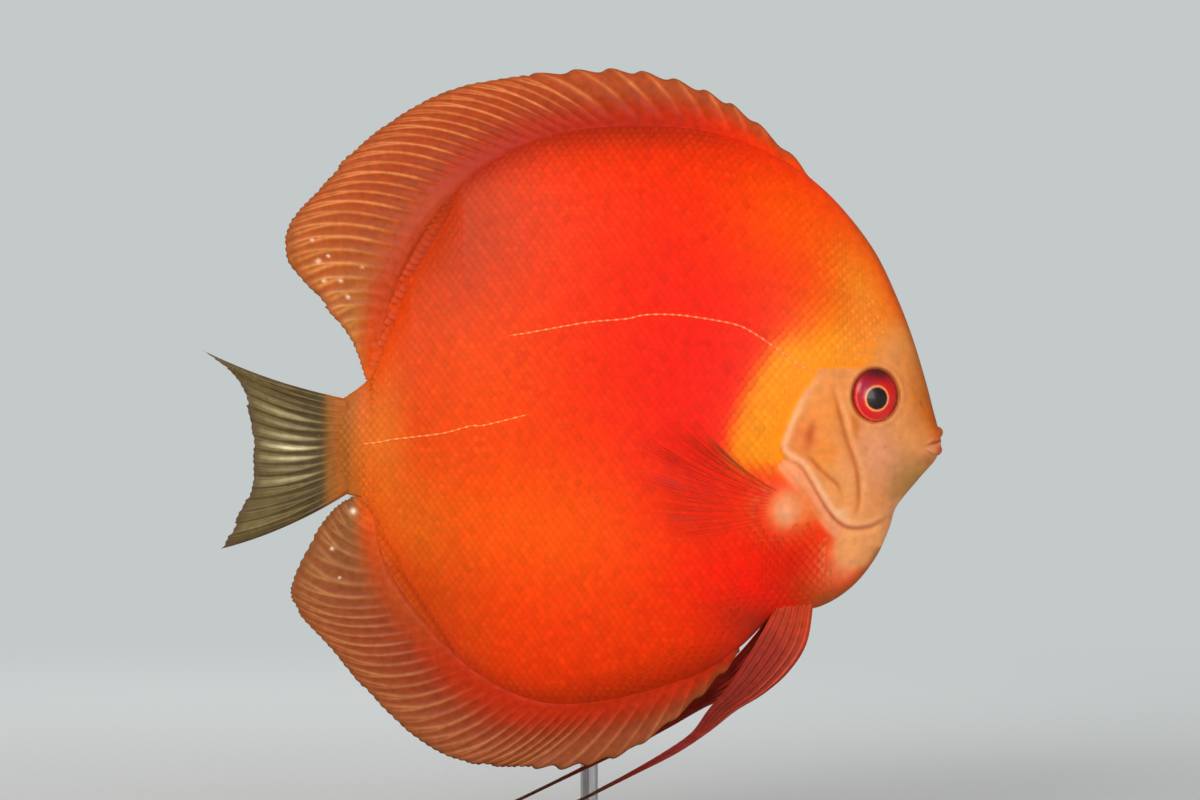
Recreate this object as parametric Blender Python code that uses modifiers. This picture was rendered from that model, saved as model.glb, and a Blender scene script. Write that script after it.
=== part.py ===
"""A discus fish, life size, as a still museum model on a plain display stand.

The fish swims along +X in the plane y = 0, its left side towards +Y. Sizes are in
millimetres. A side view point is (x, z) with z from the fish's middle height, and
at() turns millimetres into metres above the floor.
"""

import math

import bmesh
import bpy
import numpy as np
from mathutils import Matrix, Vector

MM = 0.001
GAP = 0.3
MIDDLE_HEIGHT = 95.5

# Flesh of the body in side view, from the upper lip over the back and round
BODY_RIM = (
    (83.0, 1.0), (81.5, 7.4), (79.8, 13.5), (77.0, 22.5), (73.6, 31.5), (68.6, 42.0), (62.0, 51.0),
    (55.0, 58.0), (46.5, 63.8), (36.0, 68.8), (24.0, 71.4), (10.0, 71.8), (-3.6, 70.2), (-14.4, 66.0),
    (-25.2, 58.7), (-33.6, 49.5), (-39.2, 40.1), (-42.6, 31.0), (-44.3, 22.0), (-44.9, 14.8),
    (-50.4, 10.0), (-55.0, 7.6), (-57.0, -1.0), (-55.0, -9.8), (-50.4, -12.2), (-46.4, -14.0),
    (-45.4, -23.0), (-42.4, -31.5), (-35.5, -41.2), (-27.0, -49.8), (-16.5, -57.0), (-4.0, -60.8),
    (12.0, -59.0), (27.0, -54.0), (38.0, -46.6), (46.5, -38.9), (55.6, -37.6), (63.0, -33.2),
    (68.5, -26.5), (71.6, -19.8), (73.2, -15.0), (78.0, -9.0), (81.8, -4.8), (83.0, -2.4),
)
BODY_CENTRE = (10.0, 0.0)
HEAD_REAR = ((63.0, -33.0), (44.0, -22.0), (41.0, 12.0), (43.0, 50.0), (46.5, 63.6))
HEAD_CENTRE = (64.0, 10.0)
# Half of the body's width along its length
BODY_WIDTHS = (
    (-59.0, 1.7), (-50.4, 2.3), (-45.0, 3.2), (-35.0, 5.4), (-20.0, 8.8), (0.0, 11.6), (20.0, 12.9),
    (38.0, 13.2), (52.0, 12.1), (62.0, 9.9), (70.0, 7.5), (76.0, 5.3), (80.0, 3.8), (83.4, 2.9),
)
FIN_BASE_HALF = 1.2
BARE_EDGE_HALF = 0.5
BARE_EDGE_FROM = 57.0

# Gill opening, the line between head and trunk, from above the nape to below the throat
GILL_LINE = (
    (57.0, 66.0), (55.4, 56.0), (54.2, 45.0), (52.9, 29.0), (51.5, 17.0), (49.2, 8.0), (47.4, 0.5),
    (48.4, -4.6), (50.9, -9.4), (54.6, -14.0), (59.6, -17.8), (66.0, -18.7), (73.0, -15.4), (79.0, -11.6),
)
TAIL_STALK_START, TAIL_STALK_END = -46.2, -50.4

# Gill cover plate, its front edge along the ridge of the cheek
COVER_RIM = (
    (58.0, 18.6), (61.4, 15.0), (60.4, 9.0), (60.9, 4.0), (62.3, -1.5), (63.6, -7.0), (64.0, -12.6),
    (62.6, -17.4), (59.7, -17.2), (54.9, -13.4), (51.3, -8.9), (49.0, -4.4), (48.0, 0.6), (49.8, 8.0),
    (52.0, 16.4), (54.4, 18.8),
)
COVER_CENTRE = (56.0, 1.0)
COVER_RAISE, COVER_DEPTH = 0.5, 1.2

EYE_PLACE = (67.9, 10.0)
EYE_RADIUS, EYE_DEPTH, EYE_SUNK = 6.2, 2.8, 1.0
EYE_TURN = math.radians(22)
NOSTRIL_PLACE = (77.0, 9.4)
NOSTRIL_RADIUS = 1.1
MOUTH_TIP, MOUTH_CORNER = (83.6, -0.5), (79.4, -1.9)
LIP_RADIUS, LIP_SPREAD = 1.1, 3.0
UPPER_LIP_RISE, LOWER_LIP_DROP = 1.4, 1.7
MOUTH_SLIT = 0.5

# Edges of the fins in side view, each at even steps of its root from front to rear or top to bottom
DORSAL_START, DORSAL_END = (55.5, 57.6), (-44.8, 16.2)
DORSAL_EDGE = (
    (54.8, 60.4), (41.0, 72.2), (29.6, 78.7), (16.1, 82.7), (1.8, 83.2), (-14.6, 81.4), (-29.4, 77.7),
    (-40.2, 71.8), (-48.7, 65.0), (-55.9, 57.0), (-62.4, 49.7), (-63.6, 40.7), (-46.4, 17.4),
)
ANAL_START, ANAL_END = (39.6, -45.4), (-45.9, -17.6)
ANAL_EDGE = (
    (38.0, -48.4), (27.4, -59.2), (13.6, -69.6), (1.0, -73.5), (-10.4, -73.6), (-18.8, -73.0),
    (-27.9, -70.8), (-37.3, -64.6), (-46.5, -55.5), (-54.6, -46.0), (-61.6, -37.8), (-62.2, -29.4),
    (-47.8, -14.9),
)
CAUDAL_ROOT = ((-50.7, 9.7), (-50.7, -12.0))
CAUDAL_EDGE = (
    (-83.5, 20.4), (-79.0, 17.4), (-75.4, 14.4), (-73.4, 10.8), (-72.2, 6.6), (-71.5, 2.2), (-71.3, -2.0),
    (-71.4, -6.0), (-71.8, -10.0), (-73.0, -13.4), (-74.6, -17.0), (-76.2, -20.5), (-77.9, -24.1),
)
CAUDAL_BOW, CAUDAL_BASE_SHARE = -1.4, 0.8
PECTORAL_ROOT = ((47.3, -11.4), (45.6, -18.4))
PECTORAL_EDGE = (
    (27.9, 4.5), (23.0, 4.2), (18.8, 2.0), (16.0, -1.6), (15.4, -6.0), (15.8, -10.6), (16.8, -14.6),
    (18.8, -18.4), (22.4, -20.9), (27.6, -21.6), (33.6, -20.6),
)
PECTORAL_BOW = -2.2
PECTORAL_SUNK, PECTORAL_LIFT, PECTORAL_SPLAY = 1.0, 1.8, 7.5
PECTORAL_BASE_SHARE, PECTORAL_BASE_THICK = 0.12, 1.8
PELVIC_FRONT = (
    (55.0, -36.4), (53.2, -45.0), (48.8, -52.0), (43.2, -56.8), (36.6, -61.9), (30.4, -66.8),
    (23.4, -71.2), (14.8, -75.7), (6.6, -79.7), (-2.6, -84.1),
)
PELVIC_REAR = (
    (46.4, -36.4), (43.4, -42.0), (39.6, -48.4), (35.0, -55.2), (30.8, -62.2), (26.9, -66.9),
    (21.4, -70.3), (14.0, -74.9), (6.0, -79.0), (-3.2, -83.5),
)
PELVIC_SPREAD, PELVIC_SPLAY = 1.3, 9.0
PELVIC_BASE_THICK, PELVIC_THREAD_THICK = 1.6, 0.7
LEFT_PELVIC_SWING, SWING_DONE = (-12.8, 0.3), 0.75

# Fin rays by count, spines first, and the share of the root that the spines stand on
DORSAL_SPINES, DORSAL_RAYS, DORSAL_SPINE_SHARE = 9, 30, 0.34
ANAL_SPINES, ANAL_RAYS, ANAL_SPINE_SHARE = 8, 28, 0.30
CAUDAL_RAYS, PECTORAL_RAYS, PELVIC_RAYS = 16, 12, 6
RAY_BOW, BOW_GROWS_TO = 0.55, 0.6
RAY_THICK, MEMBRANE_THICK, SPINE_THICK = 1.0, 0.5, 1.2
THICK_FOOT_SHARE = 0.4
SPINE_OVER, SPINE_BAY = 0.7, 1.0

BASE_SIZE = (112.0, 70.0, 6.0)
BASE_PLACE_X = 4.0
BASE_CORNER = 9.0
ROD_RADIUS = 2.0
ROD_X, ROD_Y = 4.0, 24.0
ROD_MEETS_Z = -16.0
ROD_BEND = 8.0
PAD_RADIUS, PAD_THICK = 5.0, 2.4

# How finely the solids are divided
RIM_POINTS, LINE_POINTS = 880, 200
BODY_AROUND, HEAD_AROUND, BODY_RINGS = 84, 56, 18
COVER_AROUND, COVER_RINGS = 32, 8
MEDIAN_ROWS, TAIL_ROWS, PECTORAL_ROWS, PELVIC_ROWS = 6, 6, 6, 13
CUT_DEPTH, CUT_HEIGHT = 40.0, 30.0
REAR_LIMIT, FRONT_LIMIT = -90.0, 120.0

COLOURS = {
    "skin_red": ((0.84, 0.06, 0.005), 0.4, 0.0),
    "skin_face": ((0.72, 0.30, 0.11), 0.4, 0.0),
    "iris": ((0.52, 0.01, 0.02), 0.15, 0.0),
    "fin_red": ((0.50, 0.08, 0.03), 0.45, 0.0),
    "fin_olive": ((0.19, 0.15, 0.08), 0.45, 0.0),
    "painted_steel": ((0.02, 0.02, 0.022), 0.5, 0.0),
    "steel": ((0.55, 0.55, 0.56), 0.3, 1.0),
}


def at(x, y, z):
    return Vector((x * MM, y * MM, (z + MIDDLE_HEIGHT) * MM))


def smooth(points, count, closed=False):
    """Evenly numbered points on a smooth curve through the given ones."""
    given = np.array(points, float)
    if closed:
        padded = np.vstack([given[-1], given, given[:2]])
    else:
        padded = np.vstack([2 * given[0] - given[1], given, 2 * given[-1] - given[-2]])
    spans = len(padded) - 3
    where = np.linspace(0, spans, count, endpoint=not closed)
    span = np.minimum(where.astype(int), spans - 1)
    t = (where - span)[:, None]
    before, start, end, after = (padded[span + step] for step in range(4))
    bend = 2 * before - 5 * start + 4 * end - after
    turn = 3 * start - before - 3 * end + after
    return 0.5 * (2 * start + (end - before) * t + bend * t**2 + turn * t**3)


def evenly(points, count):
    """Points at equal distances along a line."""
    steps = np.hypot(*np.diff(points, axis=0).T)
    along = np.concatenate([[0], np.cumsum(steps)])
    wanted = np.linspace(0, along[-1], count)
    return np.column_stack([np.interp(wanted, along, points[:, axis]) for axis in (0, 1)])


def point_at(line, share):
    """The point at a share of a line's length, 0 to 1."""
    index = share * (len(line) - 1)
    return np.array([np.interp(index, range(len(line)), line[:, axis]) for axis in (0, 1)])


def shifted(points, distance):
    """A side view line moved to its left by a distance."""
    along = np.gradient(points, axis=0)
    along /= np.hypot(*along.T)[:, None]
    return points + distance * np.column_stack([-along[:, 1], along[:, 0]])


RIM = smooth(BODY_RIM, RIM_POINTS, closed=True)
WIDTHS = smooth(BODY_WIDTHS, LINE_POINTS)
FRONT, REAR = int(np.argmax(RIM[:, 0])), int(np.argmin(RIM[:, 0]))


def rim_height(x, upper):
    """Height of the body's upper or lower rim at a place along its length."""
    line = np.roll(RIM, -FRONT, axis=0)
    count = (REAR - FRONT) % len(RIM)
    line = line[: count + 1] if upper else line[count:]
    line = line[np.argsort(line[:, 0])]
    return float(np.interp(x, line[:, 0], line[:, 1]))


def edge_half(x):
    """Half of the body's thickness at its rim, wider where a fin stands on it."""
    bare = min(max((x - BARE_EDGE_FROM) / 4, 0), 1)
    return FIN_BASE_HALF + (BARE_EDGE_HALF - FIN_BASE_HALF) * bare


def body_half(x, z):
    """Half of the body's thickness at a point of the side view, a lens with a blunt rim."""
    top, bottom = rim_height(x, True), rim_height(x, False)
    across = min(abs((2 * z - top - bottom) / max(top - bottom, 1)), 1)
    shape = 0.8 * (1 - across**2) ** 0.75 + 0.2 * (1 - across**6) ** 0.5
    return max(float(np.interp(x, WIDTHS[:, 0], WIDTHS[:, 1])) * shape, edge_half(x))


def new_object(name, mesh, colour):
    """Puts a mesh into the scene as a named piece with its own material."""
    obj = bpy.data.objects.new(name, mesh)
    bpy.data.collections["discus_fish"].objects.link(obj)
    if colour:
        material = bpy.data.materials.new(name)
        material.use_nodes = True
        shader = material.node_tree.nodes["Principled BSDF"]
        value, roughness, metallic = COLOURS[colour]
        shader.inputs["Base Color"].default_value = (*value, 1)
        shader.inputs["Roughness"].default_value = roughness
        shader.inputs["Metallic"].default_value = metallic
        mesh.materials.append(material)
    mesh.shade_smooth()
    mesh.set_sharp_from_angle(angle=math.radians(40))
    return obj


def from_bmesh(name, bm, colour=None):
    bmesh.ops.recalc_face_normals(bm, faces=bm.faces)
    if bm.calc_volume(signed=True) < 0:
        bmesh.ops.reverse_faces(bm, faces=bm.faces)
    mesh = bpy.data.meshes.new(name)
    bm.to_mesh(mesh)
    bm.free()
    return new_object(name, mesh, colour)


def applied(obj):
    """Makes an object's modifiers, or its curve, into its mesh."""
    graph = bpy.context.evaluated_depsgraph_get()
    mesh = bpy.data.meshes.new_from_object(obj.evaluated_get(graph))
    obj.modifiers.clear()
    obj.data = mesh
    return obj


def combined(obj, pieces, operation, solver="EXACT"):
    """Joins or cuts an object with closed pieces, and keeps its largest closed surface."""
    group = bpy.data.collections.new("pieces")
    bpy.context.scene.collection.children.link(group)
    for piece in pieces:
        group.objects.link(piece)
    modifier = obj.modifiers.new(operation, "BOOLEAN")
    modifier.operation = operation
    modifier.operand_type = "COLLECTION"
    modifier.collection = group
    modifier.solver = solver
    applied(obj)
    for piece in pieces:
        bpy.data.objects.remove(piece)
    bpy.data.collections.remove(group)
    keep_largest(obj.data)
    return obj


def keep_largest(mesh):
    bm = bmesh.new()
    bm.from_mesh(mesh)
    islands, seen = [], set()
    for start in bm.verts:
        if start in seen:
            continue
        island, waiting = [], [start]
        seen.add(start)
        while waiting:
            vert = waiting.pop()
            island.append(vert)
            near = {edge.other_vert(vert) for edge in vert.link_edges} - seen
            seen |= near
            waiting.extend(near)
        islands.append(island)
    islands.sort(key=len)
    for island in islands[:-1]:
        bmesh.ops.delete(bm, geom=island, context="VERTS")
    bm.to_mesh(mesh)
    bm.free()


def lens(name, rim, centre, around, rings, outer, inner, colour=None):
    """A sphere's mesh drawn out to a rim in side view, between an outer and an inner depth."""
    offset = rim - np.array(centre)
    turns = np.arctan2(offset[:, 1], offset[:, 0])
    order = np.argsort(turns)
    reaches = np.hypot(*offset.T)[order]
    last_ring = math.sin(math.pi / 2 - math.pi / rings)
    bm = bmesh.new()
    bmesh.ops.create_uvsphere(bm, u_segments=around, v_segments=rings, radius=1)
    for vert in bm.verts:
        turn = math.atan2(vert.co.y, vert.co.x)
        reach = float(np.interp(turn, turns[order], reaches, period=2 * math.pi))
        out = min(math.hypot(vert.co.x, vert.co.y) / last_ring, 1)
        x = centre[0] + out * reach * math.cos(turn)
        z = centre[1] + out * reach * math.sin(turn)
        side = 0 if abs(vert.co.z) < 1e-4 else math.copysign(1, vert.co.z)
        y = (outer(x, z) + inner(x, z)) / 2 + side * (outer(x, z) - inner(x, z)) / 2
        vert.co = at(x, y, z)
    return from_bmesh(name, bm, colour)


def prism(name, rim, half_depth):
    """An outline of the side view drawn out to both sides of the middle plane."""
    curve = bpy.data.curves.new(name, "CURVE")
    curve.dimensions = "2D"
    curve.fill_mode = "BOTH"
    curve.extrude = half_depth * MM
    spline = curve.splines.new("POLY")
    spline.points.add(len(rim) - 1)
    for point, (x, z) in zip(spline.points, rim):
        point.co = (x * MM, (z + MIDDLE_HEIGHT) * MM, 0, 1)
    spline.use_cyclic_u = True
    outline = bpy.data.objects.new(name, curve)
    bpy.context.scene.collection.objects.link(outline)
    bpy.context.view_layer.update()
    mesh = bpy.data.meshes.new_from_object(outline.evaluated_get(bpy.context.evaluated_depsgraph_get()))
    bpy.data.objects.remove(outline)
    bm = bmesh.new()
    bm.from_mesh(mesh)
    bmesh.ops.remove_doubles(bm, verts=bm.verts, dist=1e-6)
    bmesh.ops.transform(bm, matrix=Matrix.Rotation(math.pi / 2, 4, "X"), verts=bm.verts)
    return from_bmesh(name, bm)


def head_side_of_gills(grown):
    """Everything in front of the gill opening, as a closed outline."""
    line = shifted(smooth(GILL_LINE, 44), -grown)
    return np.vstack([line, [(FRONT_LIMIT, GILL_LINE[-1][1]), (FRONT_LIMIT, GILL_LINE[0][1])]])


def grown_body():
    """The body made larger all round by the gap that touching pieces keep."""
    rim = shifted(RIM, -GAP)
    return lens(
        "grown_body", rim, BODY_CENTRE, BODY_AROUND, BODY_RINGS,
        lambda x, z: body_half(x, z) + GAP,
        lambda x, z: -body_half(x, z) - GAP,
    )


def whole_body(name):
    return lens(
        name, RIM, BODY_CENTRE, BODY_AROUND, BODY_RINGS,
        body_half, lambda x, z: -body_half(x, z), "skin_red",
    )


def slice_across(name, rear, front):
    """A block across the tail between two places along the body."""
    rim = [(rear, -CUT_HEIGHT), (rear, CUT_HEIGHT), (front, CUT_HEIGHT), (front, -CUT_HEIGHT)]
    return prism(name, rim, CUT_DEPTH)


def trunk():
    head_space = prism("head_space", head_side_of_gills(GAP / 2), CUT_DEPTH)
    tail_space = slice_across("tail_space", REAR_LIMIT, TAIL_STALK_START + GAP / 2)
    return combined(whole_body("trunk"), [head_space, tail_space], "DIFFERENCE")


def tail_stalk():
    stalk = slice_across("stalk", TAIL_STALK_END, TAIL_STALK_START - GAP / 2)
    return combined(whole_body("tail_stalk"), [stalk], "INTERSECT")


def ball(name, place, radii, turn, segments=20, rings=10, colour=None):
    """A sphere stretched to three radii and turned about the upright axis."""
    bm = bmesh.new()
    bmesh.ops.create_uvsphere(bm, u_segments=segments, v_segments=rings, radius=1)
    pole_sideways = Matrix.Rotation(math.pi / 2, 4, "X")
    stretch = Matrix.Diagonal((*(radius * MM for radius in radii), 1))
    move = Matrix.Translation(place) @ Matrix.Rotation(turn, 4, "Z")
    bmesh.ops.transform(bm, matrix=move @ stretch @ pole_sideways, verts=bm.verts)
    return from_bmesh(name, bm, colour)


def eyeball(name, side, grown, colour=None):
    x, z = EYE_PLACE
    place = at(x, side * (body_half(x, z) - EYE_SUNK), z)
    radii = (EYE_RADIUS + grown, EYE_DEPTH + grown, EYE_RADIUS + grown)
    return ball(name, place, radii, -side * EYE_TURN, 24, 8, colour)


def tube(name, points, radius, colour=None):
    """A round bar along points in metres, closed at its ends."""
    curve = bpy.data.curves.new(name, "CURVE")
    curve.dimensions = "3D"
    curve.bevel_depth = radius * MM
    curve.bevel_resolution = 2
    curve.use_fill_caps = True
    spline = curve.splines.new("POLY")
    spline.points.add(len(points) - 1)
    for point, place in zip(spline.points, points):
        point.co = (*place, 1)
    line = bpy.data.objects.new(name, curve)
    bpy.context.scene.collection.objects.link(line)
    bpy.context.view_layer.update()
    mesh = bpy.data.meshes.new_from_object(line.evaluated_get(bpy.context.evaluated_depsgraph_get()))
    bpy.data.objects.remove(line)
    bm = bmesh.new()
    bm.from_mesh(mesh)
    bmesh.ops.remove_doubles(bm, verts=bm.verts, dist=1e-6)
    return from_bmesh(name, bm, colour)


def lip(name, rise):
    """A lip bent round the front of the snout from one corner of the mouth to the other."""
    tip_x, tip_z = MOUTH_TIP
    corner_x, corner_z = MOUTH_CORNER
    points = []
    for step in range(9):
        turn = math.pi * (step / 8 - 0.5)
        front = math.cos(turn)
        x = corner_x + (tip_x - LIP_RADIUS - corner_x) * front
        z = corner_z + rise / 2 + (tip_z + rise / 2 - corner_z) * front
        points.append(at(x, LIP_SPREAD * math.sin(turn), z))
    return tube(name, points, LIP_RADIUS)


def mouth_slit():
    """The gap between the lips, a thin wedge from the tip back to the corners."""
    (tip_x, tip_z), (corner_x, corner_z) = MOUTH_TIP, MOUTH_CORNER
    rim = [
        (tip_x + 1, tip_z + MOUTH_SLIT / 2), (corner_x, corner_z + MOUTH_SLIT / 4),
        (corner_x, corner_z - MOUTH_SLIT / 4), (tip_x + 1, tip_z - MOUTH_SLIT / 2),
    ]
    return prism("mouth_slit", rim, 8)


def nostril(name, side, radius, depth):
    x, z = NOSTRIL_PLACE
    place = at(x, side * body_half(x, z), z)
    return ball(name, place, (radius, depth, radius), -side * EYE_TURN, 12, 6)


def cover_recess(name, side):
    """The room of a gill cover in the side of the head."""
    centre = np.array(COVER_CENTRE)
    rim = smooth(COVER_RIM, 160, closed=True)
    reach = np.hypot(*(rim - centre).T)[:, None]
    rim = centre + (rim - centre) * (reach + 2 * GAP) / reach
    return lens(
        name, rim, COVER_CENTRE, COVER_AROUND, COVER_RINGS,
        lambda x, z: side * (body_half(x, z) + 6),
        lambda x, z: side * (body_half(x, z) - COVER_DEPTH - GAP),
    )


def gill_cover(name, side):
    """A bony plate over the gills, a little proud of the cheek and thin at its edge."""
    rim = smooth(COVER_RIM, 160, closed=True)
    return lens(
        name, rim, COVER_CENTRE, COVER_AROUND, COVER_RINGS,
        lambda x, z: side * (body_half(x, z) + COVER_RAISE),
        lambda x, z: side * (body_half(x, z) - COVER_DEPTH),
        "skin_face",
    )


def head_rim():
    """The body's rim round the head, closed behind by a line inside the trunk."""
    x, z = RIM.T
    (low_x, _), (high_x, _) = HEAD_REAR[0], HEAD_REAR[-1]
    return np.vstack([RIM[(x > low_x) | (x > high_x) & (z > 0)], smooth(HEAD_REAR, 80)])


def head():
    body = lens(
        "head", head_rim(), HEAD_CENTRE, HEAD_AROUND, BODY_RINGS,
        body_half, lambda x, z: -body_half(x, z), "skin_face",
    )
    combined(body, [prism("head_region", head_side_of_gills(-GAP / 2), CUT_DEPTH)], "INTERSECT")
    lips = [lip("upper_lip", UPPER_LIP_RISE), lip("lower_lip", -LOWER_LIP_DROP)]
    bumps = [nostril(f"nostril_rim_{side}", side, NOSTRIL_RADIUS, NOSTRIL_RADIUS / 2) for side in (1, -1)]
    combined(body, [*lips, *bumps], "UNION", "MANIFOLD")
    holes = [nostril(f"nostril_{side}", side, NOSTRIL_RADIUS / 2, NOSTRIL_RADIUS) for side in (1, -1)]
    sockets = [eyeball(f"socket_{side}", side, GAP) for side in (1, -1)]
    recesses = [cover_recess(f"recess_{side}", side) for side in (1, -1)]
    return combined(body, [*holes, *sockets, *recesses, mouth_slit()], "DIFFERENCE", "MANIFOLD")


def ray_places(spines, rays, share):
    """Where the rays stand along a root, 0 to 1, with the membrane between and beside them."""
    total = spines + rays
    stands = [share * (k + 0.6) / spines for k in range(spines)]
    stands += [share + (1 - share) * (k + 0.5) / rays for k in range(rays)]
    places = [0.0]
    for k in range(total):
        places.append(stands[k])
        places.append((stands[k] + stands[k + 1]) / 2 if k < total - 1 else 1.0)
    return places


def sheet(name, columns, rows, place, thick, colour):
    """A fin as a grid of columns, one on each ray and one between, thickened to both sides."""
    most = max(thick(column, row / rows) for column in range(columns) for row in range(rows + 1))
    bm = bmesh.new()
    weights = bm.verts.layers.deform.verify()
    bmesh.ops.create_grid(bm, x_segments=columns - 1, y_segments=rows, size=0.5)
    for vert in bm.verts:
        column = round((vert.co.x + 0.5) * (columns - 1))
        along = round((vert.co.y + 0.5) * rows) / rows
        vert.co = place(column, along)
        vert[weights][0] = thick(column, along) / most
    bmesh.ops.triangulate(bm, faces=bm.faces, quad_method="FIXED")
    obj = from_bmesh(name, bm, colour)
    obj.vertex_groups.new(name="thickness")
    solidify = obj.modifiers.new("thickness", "SOLIDIFY")
    solidify.thickness = most * MM
    solidify.offset = 0
    solidify.vertex_group = "thickness"
    return applied(obj)


def ray_thickness(column, along, root, ray):
    """Full at the root, then a ridge on the rays and thin membrane between."""
    outer = ray if column % 2 else MEMBRANE_THICK
    outer += (MEMBRANE_THICK - outer) * along**2
    return outer + (root - outer) * max(1 - along / THICK_FOOT_SHARE, 0) ** 1.5


def median_fin(name, start, end, edge, spines, rays, share, rows, colour):
    """A fin on the body's rim, its rays bowed to the rear, with spines that stand out of its edge."""
    bow_side = math.copysign(1, start[1])
    first = int(np.argmin(np.hypot(*(RIM - start).T)))
    last = int(np.argmin(np.hypot(*(RIM - end).T)))
    step = 1 if last > first else -1
    root = evenly(shifted(RIM, -GAP)[first : last + step : step], LINE_POINTS)
    tip = smooth(edge, LINE_POINTS)
    places = ray_places(spines, rays, share)

    def place(column, along):
        foot = point_at(root, places[column])
        reach = point_at(tip, places[column]) - foot
        if column < 2 * spines:
            over = SPINE_OVER if column % 2 else -SPINE_BAY
            reach *= 1 + min(over / np.hypot(*reach), 1 / 3)
        full_bow = bow_side * RAY_BOW * min(places[column] / BOW_GROWS_TO, 1)
        bow = full_bow * along**1.5 * (1 - along)
        x, z = foot + reach * along + np.array([reach[1], -reach[0]]) * bow
        return at(x, 0, z)

    def thick(column, along):
        ray = SPINE_THICK if column < 2 * spines else RAY_THICK
        return ray_thickness(column, along, 2 * FIN_BASE_HALF, ray)

    return sheet(name, len(places), rows, place, thick, colour)


def caudal_fin():
    edge = smooth(CAUDAL_EDGE, LINE_POINTS)
    places = ray_places(0, CAUDAL_RAYS, 0)
    root_half = body_half(TAIL_STALK_END, 0)

    def place(column, along):
        part = places[column]
        foot = np.array(CAUDAL_ROOT[0]) * (1 - part) + np.array(CAUDAL_ROOT[1]) * part
        tip = point_at(edge, part)
        x, z = foot + (tip - foot) * along
        return at(x, 0, z + CAUDAL_BOW * 4 * along * (1 - along))

    def thick(column, along):
        return ray_thickness(column, along, 2 * root_half * CAUDAL_BASE_SHARE, RAY_THICK)

    return sheet("caudal_fin", len(places), TAIL_ROWS, place, thick, "fin_olive")


def pectoral_fin(name, side):
    """A fan that leaves the flank behind the gill opening and stands off it to the rear."""
    edge = smooth(PECTORAL_EDGE, LINE_POINTS)
    places = ray_places(0, PECTORAL_RAYS, 0)

    def place(column, along):
        part = places[column]
        foot = np.array(PECTORAL_ROOT[0]) * (1 - part) + np.array(PECTORAL_ROOT[1]) * part
        tip = point_at(edge, part)
        x, z = foot + (tip - foot) * along
        z += PECTORAL_BOW * (1 - part) * 4 * along * (1 - along)
        risen = min(along / PECTORAL_BASE_SHARE, 1)
        lift = -PECTORAL_SUNK + (PECTORAL_SUNK + PECTORAL_LIFT) * risen + PECTORAL_SPLAY * along
        return at(x, side * (body_half(x, z) + lift), z)

    def thick(column, along):
        return ray_thickness(column, along, PECTORAL_BASE_THICK, RAY_THICK)

    fin = sheet(name, len(places), PECTORAL_ROWS, place, thick, "fin_red")
    return combined(fin, [grown_body()], "DIFFERENCE")


def pelvic_fin(name, side, swing):
    """A narrow blade under the breast whose rays run on into one long thread."""
    front, rear = smooth(PELVIC_FRONT, LINE_POINTS), smooth(PELVIC_REAR, LINE_POINTS)
    places = ray_places(0, PELVIC_RAYS, 0)

    def place(column, along):
        ends = [point_at(line, along) for line in (front, rear)]
        swung = (1 - math.cos(math.pi * min(along / SWING_DONE, 1))) / 2
        x, z = ends[0] + (ends[1] - ends[0]) * places[column] + np.array(swing) * swung
        return at(x, side * (PELVIC_SPREAD + PELVIC_SPLAY * along), z)

    def thick(column, along):
        thread = (PELVIC_THREAD_THICK - MEMBRANE_THICK) * along
        return ray_thickness(column, along, PELVIC_BASE_THICK, RAY_THICK) + thread

    fin = sheet(name, len(places), PELVIC_ROWS, place, thick, "fin_red")
    return combined(fin, [grown_body()], "DIFFERENCE")


def stand_base():
    length, width, height = (size * MM for size in BASE_SIZE)
    bm = bmesh.new()
    bmesh.ops.create_cube(bm, size=1, matrix=Matrix.Diagonal((length, width, height, 1)))
    upright = [edge for edge in bm.edges if abs(edge.verts[0].co.z - edge.verts[1].co.z) > height / 2]
    bmesh.ops.bevel(bm, geom=upright, offset=BASE_CORNER * MM, segments=6, affect="EDGES", profile=0.5)
    top = [edge for edge in bm.edges if all(vert.co.z > 0 for vert in edge.verts)]
    bmesh.ops.bevel(bm, geom=top, offset=0.8 * MM, segments=2, affect="EDGES", profile=0.5)
    bmesh.ops.translate(bm, vec=(BASE_PLACE_X * MM, 0, height / 2), verts=bm.verts)
    return from_bmesh("stand_base", bm, "painted_steel")


def stand_rod():
    """A rod that rises behind the fish and bends to a small pad on its left flank."""
    foot = BASE_SIZE[2] + GAP - MIDDLE_HEIGHT
    bend_start = ROD_MEETS_Z - ROD_BEND
    points = [at(ROD_X, ROD_Y, foot)]
    for step in range(7):
        turn = math.pi / 2 * step / 6
        y = ROD_Y - ROD_BEND * (1 - math.cos(turn))
        points.append(at(ROD_X, y, bend_start + ROD_BEND * math.sin(turn)))
    flank = body_half(ROD_X, ROD_MEETS_Z)
    points.append(at(ROD_X, flank - 1, ROD_MEETS_Z))
    pad_ends = [at(ROD_X, flank - 1, ROD_MEETS_Z), at(ROD_X, flank + PAD_THICK, ROD_MEETS_Z)]
    rod = tube("stand_rod", points, ROD_RADIUS, "steel")
    combined(rod, [tube("pad", pad_ends, PAD_RADIUS)], "UNION")
    return combined(rod, [grown_body()], "DIFFERENCE")


def clear_scene():
    for obj in list(bpy.data.objects):
        bpy.data.objects.remove(obj)
    collection = bpy.data.collections.new("discus_fish")
    bpy.context.scene.collection.children.link(collection)


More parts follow.
